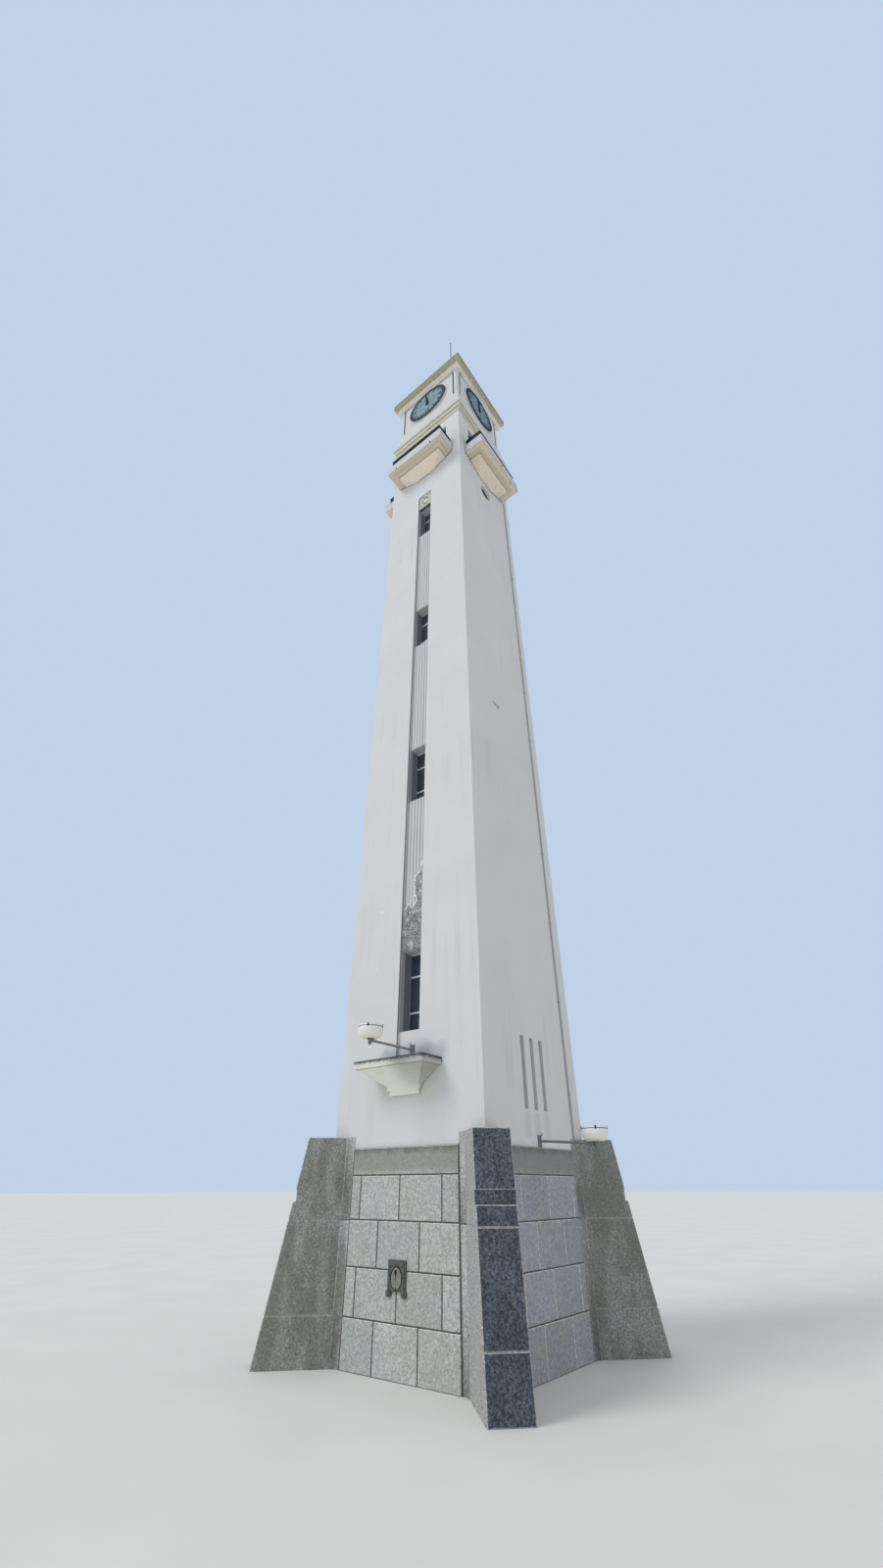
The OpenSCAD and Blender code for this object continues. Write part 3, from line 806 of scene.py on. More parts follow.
def both_ways(x: float, y: float, z: float, *rest: object) -> tuple[Stain, Stain]:
    """The same stain on the right and on the left of the tower."""
    return Stain((x, y, z), *rest), Stain((-x, y, z), *rest)


RUN_GREY = (0.42, 0.43, 0.43)
REVEAL_LIGHT_CREAM = (0.94, 0.93, 0.86)
GROOVE_BLACK = (0.05, 0.05, 0.05)
CORNER_GREY = (0.38, 0.40, 0.40)
WALL_WHITE = (0.71, 0.725, 0.74)
BAND_UNDER = (0.72, 0.68, 0.55)
CARVING_DIRT = (0.18, 0.16, 0.13)
BOWL_CREAM = (0.95, 0.92, 0.74)

SLIT_RUNS = tuple(
    stain
    for y in (-0.229, 0.0, 0.229)
    for stain in both_ways(1.14, y, 2.20, (0.06, 0.022, 0.09), RUN_GREY, 0.30, 0.09, 0.08, 14.0)
)
FOOT_DIRT = (
    Stain((0.0, 0.0, 1.98), (2.0, 2.0, 0.01), (0.42, 0.43, 0.42), 0.20, 0.05, 0.10, 6.0),
    *both_ways(1.15, -1.15, 2.06, (0.12, 0.12, 0.02), CORNER_GREY, 0.28, 0.16, 0.16, 7.0),
)
LEDGE_DIRT = (
    Stain((-0.02, -1.13, 2.95), (0.30, 0.05, 0.02), (0.22, 0.26, 0.33), 0.60, 0.20, 0.12, 7.0),
    Stain((0.38, -1.13, 2.94), (0.14, 0.05, 0.01), (0.22, 0.25, 0.31), 0.45, 0.15, 0.12, 12.0),
    Stain((0.0, -1.13, 2.62), (0.40, 0.05, 0.14), (0.70, 0.71, 0.60), 0.50, 0.16, 0.06, 6.0),
)
WALL_MARK = (
    Stain((1.098, -0.254, 8.74), (0.03, 0.10, 0.012), (0.36, 0.33, 0.29), 0.9, 0.025, 0.05, 30.0),
    Stain((1.098, -0.20, 8.70), (0.03, 0.02, 0.03), (0.30, 0.28, 0.25), 0.7, 0.02, 0.04, 30.0),
    Stain((-0.585, -1.12, 4.97), (0.008, 0.03, 0.010), (0.92, 0.92, 0.90), 0.9, 0.02, 0.03, 30.0),
    Stain((-0.607, -1.12, 4.14), (0.004, 0.03, 0.010), (0.90, 0.90, 0.88), 0.8, 0.015, 0.03, 30.0),
    Stain((1.137, 0.47, 2.00), (0.03, 0.33, 0.045), (0.80, 0.80, 0.78), 0.8, 0.02, 0.03, 12.0),
)
# Painted light: the reveals of the round windows are made paler than the wall so that they look lit.
ROUND_REVEAL_LIGHT = both_ways(
    1.03, 0.0, ROUND_WINDOW, (0.0245, 0.1925, 0.1925), REVEAL_LIGHT_CREAM, 1.0, 0.002, 0.0, 6.0
)
CORNICE_EDGE = (
    Stain((0.0, 0.0, 21.20), (2.0, 2.0, 0.02), (0.12, 0.13, 0.12), 0.75, 0.06, 0.06, 7.0),
)
LEDGE_EDGE = (
    Stain((0.42, -1.45, 2.83), (0.16, 0.20, 0.05), (0.26, 0.25, 0.26), 0.55, 0.40, 0.10, 6.0),
    Stain((0.0, -1.50, 2.885), (0.6, 0.03, 0.018), GROOVE_BLACK, 0.92, 0.045, 0.06, 30.0),
    Stain((0.56, -1.30, 2.885), (0.03, 0.25, 0.022), GROOVE_BLACK, 0.90, 0.045, 0.07, 30.0),
)
STONE_MOSS = (
    Stain((0.0, 0.0, 1.87), (2.0, 2.0, 0.10), (0.25, 0.26, 0.24), 0.66, 0.09, 0.04, 7.0),
    Stain((0.0, 0.0, 1.985), (2.0, 2.0, 0.012), (0.13, 0.14, 0.10), 0.65, 0.10, 0.16, 9.0),
)
# Painted shade with dirt: the fluted panels darken at the edges of the strip's recess.
FLUTE_EDGE_SHADE_AND_DIRT = both_ways(
    STRIP_HALF, 0.0, 9.0, (0.004, 2.0, 8.0), (0.34, 0.36, 0.39), 0.60, 0.020, 0.006, 20.0
)
BOWL_GLOW = tuple(
    Stain(spot, (0.16, 0.16, 0.025), BOWL_CREAM, 0.95, 0.07, 0.03, 12.0)
    for spot in ((0.046, -1.857, 3.02), (1.862, 0.0, 2.00))
)

WALL_STAINS = SLIT_RUNS + FOOT_DIRT + LEDGE_DIRT + WALL_MARK
WALL_PAINT = Plaster("wall_finish", WALL_WHITE, 0.75, stains=WALL_STAINS + ROUND_REVEAL_LIGHT)
PIER_PAINT = RecessPlaster(
    "pier_finish", WALL_WHITE, 0.75, stains=WALL_STAINS,
    steps=(
        (0.0, WALL_WHITE), (0.003, (0.21, 0.23, 0.25)), (0.018, (0.21, 0.23, 0.25)),
        (0.030, (0.60, 0.62, 0.64)), (0.044, (0.66, 0.68, 0.70)),
    ),
)
FLUTE_PAINT = RecessPlaster(
    "flute_finish", (0.62, 0.64, 0.65), 0.75, stains=FLUTE_EDGE_SHADE_AND_DIRT,
    steps=((0.046, (0.62, 0.64, 0.65)), (0.054, (0.63, 0.65, 0.66))),
)
STAGE_PAINT = Plaster("stage_finish", (0.68, 0.695, 0.71), 0.75, streak_strength=0.25)
# Painted shade with dirt darkens the band where the balcony meets the wall.
BALCONY_PAINT = BracketPlaster(
    "balcony_finish", (0.72, 0.68, 0.58), 0.78,
    streak_colour=(0.24, 0.24, 0.22), streak_strength=0.35, cloud_depth=0.10,
    levels=(
        Level(16.0, (0.92, 0.83, 0.69), (0.92, 0.83, 0.69)),
        Level(16.425, (0.70, 0.62, 0.50), (0.70, 0.64, 0.55)),
        Level(SLAB_FOOT, (0.64, 0.67, 0.71), (0.76, 0.655, 0.50)),
    ),
)
# Painted light: a copy of the balcony paint for the left and right balconies, darker on most faces as
# painted shade and lighter under the slab; painted shade with dirt darkens the band where it meets the wall.
SIDE_BALCONY_PAINT = BracketPlaster(
    "side_balcony_finish", (0.66, 0.60, 0.50), 0.78,
    streak_colour=(0.22, 0.22, 0.20), streak_strength=0.35, cloud_depth=0.10,
    levels=(
        Level(16.0, (0.86, 0.76, 0.61), (0.86, 0.76, 0.61)),
        Level(16.425, (0.72, 0.63, 0.50), (0.70, 0.61, 0.49)),
        Level(SLAB_FOOT, (0.60, 0.63, 0.66), (0.82, 0.72, 0.56)),
    ),
)
BAND_PAINT = Plaster(
    "band_finish", (0.66, 0.67, 0.64), 0.78,
    streak_colour=(0.26, 0.25, 0.21), streak_strength=0.35, cloud_depth=0.10,
    levels=(
        Level(18.306, (0.60, 0.59, 0.50), BAND_UNDER),
        Level(18.450, (0.64, 0.63, 0.51), BAND_UNDER),
        Level(18.594, (0.68, 0.695, 0.70), BAND_UNDER),
    ),
)
CORNICE_PAINT = Plaster(
    "cornice_finish", (0.50, 0.45, 0.33), 0.80, stains=CORNICE_EDGE,
    streak_colour=(0.16, 0.17, 0.15), streak_strength=0.35, cloud_depth=0.10,
    levels=(
        # The lower tier's underside is the wall's white paint, made whiter than the wall: painted light from
        # below.
        Level(20.78, (0.62, 0.55, 0.42), (0.92, 0.92, 0.90)),
        Level(21.00, (0.295, 0.27, 0.205), (0.56, 0.54, 0.42)),
    ),
)
# Painted shade darkens the bracket's sides, and painted shade with dirt the band where the ledge meets the
# wall.
LEDGE_PAINT = BracketPlaster(
    "ledge_finish", (0.96, 0.97, 0.88), 0.75, stains=LEDGE_EDGE,
    streak_colour=(0.30, 0.28, 0.22), streak_strength=0.25,
    levels=(
        Level(0.0, (0.96, 0.97, 0.88), (0.96, 0.97, 0.88)),
        Level(2.788, (0.80, 0.79, 0.74), (0.50, 0.48, 0.40)),
    ),
    side_from=2.30, side_to=2.785, side_shade_colour=(0.70, 0.70, 0.62), dirt_strength=0.45,
)
# Painted highlight and painted shade: the carving is paler where its relief stands out and dark in the
# hollows behind it.
CARVING = RecessPlaster(
    "carved_finish", (0.60, 0.57, 0.48), 0.85, grain_depth=0.004,
    streak_colour=CARVING_DIRT, streak_strength=0.4, cloud_depth=0.15,
    steps=((0.022, (0.84, 0.86, 0.80)), (0.033, (0.62, 0.64, 0.57)), (0.040, (0.24, 0.26, 0.22))),
)
PANEL_BODY = Plaster(
    "panel_body", (0.60, 0.57, 0.48), 0.85, streak_colour=CARVING_DIRT, streak_strength=0.4,
    levels=(Level(0.0, (0.50, 0.49, 0.42), (0.66, 0.66, 0.70)),),
)
# Painted shade with dirt: the jamb linings turn darker deeper into the reveal, with a dark line near its
# front.
JAMB_PAINT = RecessPlaster(
    "jamb_finish", (0.42, 0.44, 0.46), 0.80, streak_strength=0.30,
    steps=(
        (0.048, (0.26, 0.28, 0.30)), (0.064, (0.44, 0.46, 0.48)),
        (0.108, (0.44, 0.46, 0.48)), (0.122, (0.19, 0.21, 0.24)), (0.218, (0.24, 0.27, 0.31)),
    ),
)
BARE_RENDER = BrokenRender(
    "bare_render", (0.40, 0.41, 0.42), 0.95, grain_depth=0.006,
    streak_colour=(0.16, 0.15, 0.14), streak_strength=0.4, cloud_depth=0.20,
)
FLAKE_WHITE = Plaster("flake_paint", (0.84, 0.85, 0.84), 0.7, streak_strength=0.1)
FLOOR_GREY = Plaster("floor_finish", (0.45, 0.44, 0.42), 0.9)
ENAMEL = Plaster(
    "enamel_finish", (0.84, 0.85, 0.85), 0.35, stains=BOWL_GLOW,
    streak_strength=0.10, cloud_depth=0.04, grain_depth=0.0003,
)

# Stones on faces turned right or left carry painted shade, darker and bluer.
WALL_STONES = tuple(
    ChipStone(
        f"wall_stone_{number}", (tone, tone + 0.01, tone), 0.85,
        side_shade_tint=(0.74, 0.77, 0.88), stains=STONE_MOSS,
    )
    for number, tone in enumerate((0.47, 0.51, 0.55))
)
# Painted highlight: the pale finish of the base stones' bevels that face up or left.
LIT_EDGE_STONE = ChipStone(
    "lit_edge_stone", (0.78, 0.78, 0.76), 0.85,
    dark=(0.60, 0.60, 0.58), pale=(0.86, 0.85, 0.83), patch_strength=0.10, tint=0.0,
)
# The buttress stone carries painted shade on faces turned away from the light, and painted shade with dirt
# on its outer diagonal faces.
CORNER_STONE = ChipStone(
    "corner_stone", (0.43, 0.44, 0.43), 0.88,
    dark=(0.24, 0.25, 0.25), outer_dark=True, patch_strength=0.35, tint=0.12, painted_shade=0.64, mottle=0.46,
)
# The coves carry painted shade on faces turned away from the light.
COVE_STONE = ChipStone(
    "cove_stone", (0.47, 0.48, 0.47), 0.85,
    dark=(0.36, 0.37, 0.37), patch_strength=0.15, painted_shade=0.72, painted_shade_from=0.60, mottle=0.46,
)


def plain_stone(name: str, colour: Colour, rough: float, dark: Colour, pale: Colour) -> ChipStone:
    """Chip stone without the green and blue tints."""
    return ChipStone(name, colour, rough, dark=dark, pale=pale, tint=0.0)


MORTAR = plain_stone("mortar", (0.15, 0.15, 0.14), 0.95, (0.10, 0.10, 0.09), (0.22, 0.22, 0.20))
# Painted shade: the dark finish of the base stones' bevels that face down or right.
SHADE_STONE = plain_stone("shade_stone", (0.25, 0.25, 0.24), 0.90, (0.12, 0.12, 0.12), (0.32, 0.32, 0.30))
JOINT_STONE = plain_stone("joint_stone", (0.44, 0.45, 0.44), 0.88, (0.28, 0.28, 0.27), (0.56, 0.56, 0.54))
LEAF_STONE = plain_stone("leaf_stone", (0.26, 0.26, 0.24), 0.85, (0.20, 0.20, 0.185), (0.32, 0.32, 0.30))
TABLET_STONE = plain_stone(
    "tablet_stone", (0.12, 0.118, 0.112), 0.85, (0.08, 0.08, 0.075), (0.18, 0.175, 0.165)
)

LINE_SHADE = Paint("line_shade", (0.13, 0.12, 0.10), 0.8, worn=(0.20, 0.18, 0.15), wear=0.5)
SLOT_SHADE = Paint("slot_shade", (0.070, 0.085, 0.100), 0.9, worn=(0.12, 0.13, 0.14), wear=0.4)
STEM_DARK = Paint("stem_dark", (0.022, 0.022, 0.022), 0.8, gloss=0.1, worn=(0.05, 0.05, 0.045), wear=0.3)
DARK_PAINT = Paint(
    "dark_finish", (0.012, 0.015, 0.020), 0.7, gloss=0.15, worn=(0.06, 0.055, 0.05), wear=0.25
)
FRAME_PAINT = SashPaint("frame_finish", (0.66, 0.68, 0.68), 0.5, worn=(0.40, 0.38, 0.34))
GREY_PAINT = Paint("grey_finish", (0.42, 0.44, 0.45), 0.5, worn=(0.22, 0.18, 0.15), wear=0.4)
LAMP_METAL = Paint("lamp_metal", (0.20, 0.215, 0.24), 0.55, worn=(0.12, 0.10, 0.08), wear=0.5)
DIAL_PAINT = Paint("dial_finish", (0.16, 0.285, 0.335), 0.6, worn=(0.09, 0.18, 0.23), wear=0.6, scale=8.0)
RIM_PAINT = Paint("rim_finish", (0.030, 0.038, 0.052), 0.7, gloss=0.2, worn=(0.08, 0.09, 0.10), wear=0.3)
HAND_PAINT = Paint(
    "hand_finish", (0.009, 0.011, 0.015), 0.7, gloss=0.15, worn=(0.04, 0.038, 0.036), wear=0.2
)
ROD_METAL = Paint("rod_finish", (0.10, 0.10, 0.10), 0.5, 0.6)
GLASS = WindowGlass("pane_finish", (0.045, 0.060, 0.088), 0.08)
DOOR_GLASS = WindowGlass("door_pane_finish", (0.02, 0.03, 0.045), 0.10)

FINISH_NODES: dict[Finish, tuple[str, ...]] = {
    FLOOR_GREY: ("ground_floor", "floors"),
    MORTAR: ("front_base_wall", "back_base_wall", "side_base_walls"),
    CORNER_STONE: ("buttresses",),
    TABLET_STONE: ("plaque",),
    PIER_PAINT: ("front_wall_piers", "back_wall_piers"),
    WALL_PAINT: (
        "strip_ends", "side_walls_lower", "side_walls_upper",
        "belfry_walls_front_back", "belfry_walls_sides",
    ),
    FLUTE_PAINT: ("fluted_panels",),
    PANEL_BODY: ("relief_panels",),
    FRAME_PAINT: ("window_frames",),
    GLASS: ("window_panes",),
    LEDGE_PAINT: ("wall_balcony",),
    LAMP_METAL: ("lamp_arms",),
    ENAMEL: ("lamp_bowls",),
    GREY_PAINT: ("conductor_pipe",),
    BALCONY_PAINT: ("balcony_front", "balcony_back"),
    SIDE_BALCONY_PAINT: ("balcony_left", "balcony_right"),
    DARK_PAINT: ("railings", "balcony_door_frames"),
    DOOR_GLASS: ("balcony_door_panes",),
    BAND_PAINT: ("string_course",),
    STAGE_PAINT: ("clock_walls_front_back", "clock_walls_sides", "corner_columns"),
    CORNICE_PAINT: ("cornice",),
    ROD_METAL: ("lightning_rod",),
    RIM_PAINT: ("clock_rims",),
    DIAL_PAINT: ("dials",),
}
NODE_FINISH = {name: finish for finish, names in FINISH_NODES.items() for name in names}


# Making pieces

SHARP = 0.6


def faces_of(verts: Iterable[bmesh.types.BMVert]) -> set[bmesh.types.BMFace]:
    """The faces at some vertices."""
    return {face for vert in verts for face in vert.link_faces}


def verts_in(parts: Iterable) -> Verts:
    """The vertices among some mesh elements."""
    return [part for part in parts if isinstance(part, bmesh.types.BMVert)]


@dataclass
class Piece:
    """A mesh under work that ends as one object at the origin."""

    name: str
    finishes: tuple[Finish, ...]
    slot: Slot
    body: str = TOWER
    mesh: bmesh.types.BMesh = field(default_factory=bmesh.new)

    def block(self, one: Point, other: Point) -> Verts:
        """Adds a closed box.

        Args:
            one: A corner.
            other: The corner across from it.

        Returns:
            The box's vertices.
        """
        low = Vector(tuple(map(min, one, other)))
        high = Vector(tuple(map(max, one, other)))
        place = Matrix.Translation((low + high) / 2) @ Matrix.Diagonal((*(high - low), 1.0))
        return bmesh.ops.create_cube(self.mesh, size=1.0, matrix=place)["verts"]

    def rod(self, start: Point, end: Point, radius: float, sides: int) -> Verts:
        """Adds a closed round bar.

        Args:
            start: Middle of one end.
            end: Middle of the other end.
            radius: The bar's radius.
            sides: Number of sides.

        Returns:
            The bar's vertices.
        """
        start, end = Vector(start), Vector(end)
        way = end - start
        place = Matrix.Translation((start + end) / 2) @ way.to_track_quat("Z", "Y").to_matrix().to_4x4()
        made = bmesh.ops.create_cone(
            self.mesh, cap_ends=True, segments=sides, radius1=radius, radius2=radius,
            depth=way.length, matrix=place,
        )
        return made["verts"]

    def ring(self, profile: list[Span], steps: int) -> Verts:
        """Spins a closed profile of (radius, height) about the Z axis.

        Args:
            profile: The profile's corners in order.
            steps: Steps of the full turn.

        Returns:
            The ring's vertices.
        """
        before = set(self.mesh.verts)
        corners = [self.mesh.verts.new((r, 0.0, h)) for r, h in profile]
        edges = [self.mesh.edges.new((a, b)) for a, b in zip(corners, corners[1:] + corners[:1])]
        bmesh.ops.spin(
            self.mesh, geom=corners + edges, cent=(0, 0, 0), axis=(0, 0, 1),
            angle=math.tau, steps=steps, use_merge=True, use_duplicate=False,
        )
        return [v for v in self.mesh.verts if v not in before]

    def band(self, radii: Span, heights: Span, steps: int) -> Verts:
        """Adds a ring of rectangular section about the Z axis."""
        (inner, outer), (low, high) = radii, heights
        return self.ring([(inner, low), (outer, low), (outer, high), (inner, high)], steps)

    @staticmethod
    def paint(verts: Verts, finish: int) -> None:
        """Gives the faces at some vertices one of the piece's finishes, by number."""
        for face in faces_of(verts):
            face.material_index = finish

    def chamfer(
        self, edges: list[bmesh.types.BMEdge], width: float, segments: int = 1
    ) -> list[bmesh.types.BMFace]:
        """Bevels some edges.

        Args:
            edges: The edges.
            width: Width of the bevel.
            segments: Number of segments.

        Returns:
            The bevels' faces.
        """
        made = bmesh.ops.bevel(
            self.mesh, geom=edges, offset=width, offset_type="OFFSET", affect="EDGES",
            segments=segments, profile=0.5, material=-1, clamp_overlap=True,
        )
        return made["faces"]

    def soften(self, width: float, segments: int = 1) -> None:
        """Bevels every sharp edge."""
        sharp = [e for e in self.mesh.edges if len(e.link_faces) == 2 and e.calc_face_angle(0.0) > SHARP]
        self.chamfer(sharp, width, segments)

    def carry(self, place: Matrix, verts: Optional[Verts] = None) -> None:
        """Moves the mesh, or some of its vertices, by a matrix."""
        bmesh.ops.transform(self.mesh, matrix=place, verts=verts or list(self.mesh.verts))

    def finish(self, smooth: Optional[bool] = False) -> bpy.types.Object:
        """Turns the mesh into a dressed object that rides on its body.

        Args:
            smooth: Whether the faces are shaded smooth, or None to keep what each face has.

        Returns:
            The object.
        """
        bmesh.ops.remove_doubles(self.mesh, verts=list(self.mesh.verts), dist=1e-6)
        bmesh.ops.recalc_face_normals(self.mesh, faces=list(self.mesh.faces))
        for face in self.mesh.faces:
            face.smooth = face.smooth if smooth is None else smooth
        data = bpy.data.meshes.new(self.name)
        self.mesh.to_mesh(data)
        self.mesh.free()
        for finish in self.finishes:
            data.materials.append(finish.material())
        made = bpy.data.objects.new(self.name, data)
        bpy.context.scene.collection.objects.link(made)
        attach(made, self.body)
        LOG.info("%s: %d faces", self.name, len(data.polygons))
        return made

    def settle(self, place: Matrix, smooth: Optional[bool] = False) -> bpy.types.Object:
        """Moves the whole mesh by a matrix and finishes it."""
        self.carry(place)
        return self.finish(smooth)


# Studio


@dataclass
class Studio:
    """Pale floor, soft light and the camera at the photograph's angle."""

    sky: Colour = (0.52, 0.64, 0.80)
    ground: Colour = (0.78, 0.78, 0.76)
    ground_shade: float = 0.96
    ground_rough: float = 0.9
    ground_radius: float = 400.0
    ground_sides: int = 96
    white: Colour = (0.965, 0.985, 1.0)
    fill: float = 0.64
    sun: float = 1.05
    sun_wide: float = 25.0
    sun_way: Point = (-0.32, -0.62, 0.70)
    eye: Point = (5.3085, -7.2995, 1.571)
    azimuth: float = 37.663
    pitch: float = 33.8385
    roll: float = -0.073
    lens: float = 13.843
    film: float = 36.0
    sight: float = 2000.0

    def build(self) -> None:
        """Makes the floor, the world, the lamp and the camera."""
        self._floor()
        self._world()
        self._sun()
        self._camera()
        view = bpy.context.scene.view_settings
        view.view_transform = "Standard"

    @staticmethod
    def _place(name: str, data: bpy.types.ID) -> bpy.types.Object:
        """Puts an object with the data into the scene.

        Args:
            name: The object's name.
            data: Its mesh, light or camera.

        Returns:
            The object.
        """
        made = bpy.data.objects.new(name, data)
        bpy.context.scene.collection.objects.link(made)
        return made

    def _floor(self) -> None:
        """Makes the pale floor, which keeps the tower's shadow."""
        mesh = bmesh.new()
        bmesh.ops.create_circle(mesh, cap_ends=True, segments=self.ground_sides, radius=self.ground_radius)
        data = bpy.data.meshes.new("studio_floor")
        mesh.to_mesh(data)
        mesh.free()
        skin = Skin("studio_floor")
        tone = skin.remap(skin.cloud(0.7, 3.0), 0.3, 0.7)
        shaded = tuple(c * self.ground_shade for c in self.ground)
        skin.put(skin.shader["Base Color"], skin.mix(tone, self.ground, shaded))
        skin.put(skin.shader["Roughness"], self.ground_rough)
        data.materials.append(skin.material)
        floor = self._place("studio_floor", data)

    def _world(self) -> None:
        """Lights with plain white and shows a pale sky to the camera and in reflections."""
        world = bpy.data.worlds.new("studio_world")
        bpy.context.scene.world = world
        world.use_nodes = True
        graph = Graph(world.node_tree)
        shown = graph.add("ShaderNodeBackground", {"Color": self.sky, "Strength": 1.0})
        light = graph.add("ShaderNodeBackground", {"Color": self.white, "Strength": self.fill})
        path = graph.add("ShaderNodeLightPath").outputs
        seen = graph.math("MAXIMUM", path["Is Camera Ray"], path["Is Glossy Ray"])
        seen = graph.math("MAXIMUM", seen, path["Is Transmission Ray"])
        both = graph.add("ShaderNodeMixShader", {0: seen, 1: light.outputs[0], 2: shown.outputs[0]})
        graph.put(world.node_tree.nodes["World Output"].inputs["Surface"], both.outputs[0])

    def _sun(self) -> None:
        """Adds one broad soft lamp."""
        data = bpy.data.lights.new("studio_sun", "SUN")
        data.energy = self.sun
        data.angle = math.radians(self.sun_wide)
        lamp = self._place("studio_sun", data)
        lamp.rotation_euler = Vector(self.sun_way).to_track_quat("Z", "Y").to_euler()

    def _camera(self) -> None:
        """Adds the camera with the photograph's place, angle and lens."""
        data = bpy.data.cameras.new("photo_camera")
        data.sensor_fit = "AUTO"
        data.sensor_width = self.film
        data.lens = self.lens
        data.clip_end = self.sight
        turn, rise = math.radians(self.azimuth), math.radians(self.pitch)
        way = Vector((-math.sin(turn) * math.cos(rise), math.cos(turn) * math.cos(rise), math.sin(rise)))
        aim = way.to_track_quat("-Z", "Y").to_matrix().to_4x4()
        tilt = Matrix.Rotation(math.radians(self.roll), 4, "Z")
        camera = self._place("photo_camera", data)
        camera.matrix_world = Matrix.Translation(self.eye) @ aim @ tilt
        bpy.context.scene.camera = camera


# Sub-assemblies


@dataclass
class Solids:
    """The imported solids, each with its finish."""

    def build(self) -> None:
        """Puts each solid's finish in its material slot."""
        for name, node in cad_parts.items():
            finish = NODE_FINISH.get(name, HAND_PAINT)
            node.data.materials.clear()
            node.data.materials.append(finish.material())
            LOG.info("%s dressed in %s", name, finish.name)


@dataclass
class StoneBase:
    """Stone blocks in courses on the four base walls, with bevelled edges painted pale as painted highlight
    where they face up or left and dark as painted shade where they face down or right.
    """

    courses: tuple[float, ...] = (0.0, 0.424, 0.848, 1.272, 1.696, BASE_TOP)
    pitch: float = 0.600
    front_joints: tuple[float, ...] = (0.263, -0.035, 0.263, -0.038)
    side_joints: tuple[float, ...] = (0.377, 0.056, 0.377, 0.093)
    joint: float = 0.010
    upright: float = 0.007
    ground_gap: float = 0.0005
    proud: float = 0.012
    seat: float = 0.001
    edge: float = 0.010
    corner_cut: float = 0.352
    shortest: float = 0.08

    def build(self) -> None:
        """Makes the blocks of each side."""
        for side in Side:
            self._side(side)

    def _side(self, side: Side) -> None:
        """Makes one side's blocks.

        Args:
            side: The face of the tower.
        """
        piece = Piece(f"stone_blocks_{side.label}", WALL_STONES + (LIT_EDGE_STONE, SHADE_STONE), Slot.STONE)
        gap = self.joint / 2
        aside = self.upright / 2
        tones = len(WALL_STONES)
        for row, (low, high) in enumerate(zip(self.courses, self.courses[1:])):
            reach = half(high) - self.corner_cut
            foot = low + (gap if row else self.ground_gap)
            for number, (left, right) in enumerate(self._row(side, row, reach)):
                made = piece.block((left + aside, -self.proud, foot), (right - aside, self.seat, high - gap))
                piece.paint(made, (row * 2 + number * 5 + side.value // 90) % tones)
        piece.soften(self.edge)
        piece.mesh.normal_update()
        for face in piece.mesh.faces:
            # Painted light: bevels that face up or left take the pale highlight finish, those that face down
            # or right the dark shade finish.
            way = face.normal
            if max(abs(c) for c in way) < 0.99:
                face.material_index = tones if way.z - way.x > 0.1 else tones + 1
        piece.settle(side.wall)

    def _row(self, side: Side, row: int, reach: float) -> list[Span]:
        """Places one course's upright joints.

        Args:
            side: The face of the tower.
            row: Number of the course from the ground.
            reach: Half of the width that the course covers.

        Returns:
            The blocks' ends from left to right.
        """
        if row == len(self.courses) - 2:
            return [(-reach, reach)]
        starts = self.front_joints if side in STRIP_SIDES else self.side_joints
        joints = [starts[row] + self.pitch * i for i in range(-4, 5)]
        cuts = [-reach] + [x for x in joints if abs(x) < reach - self.shortest] + [reach]
        return list(zip(cuts, cuts[1:]))


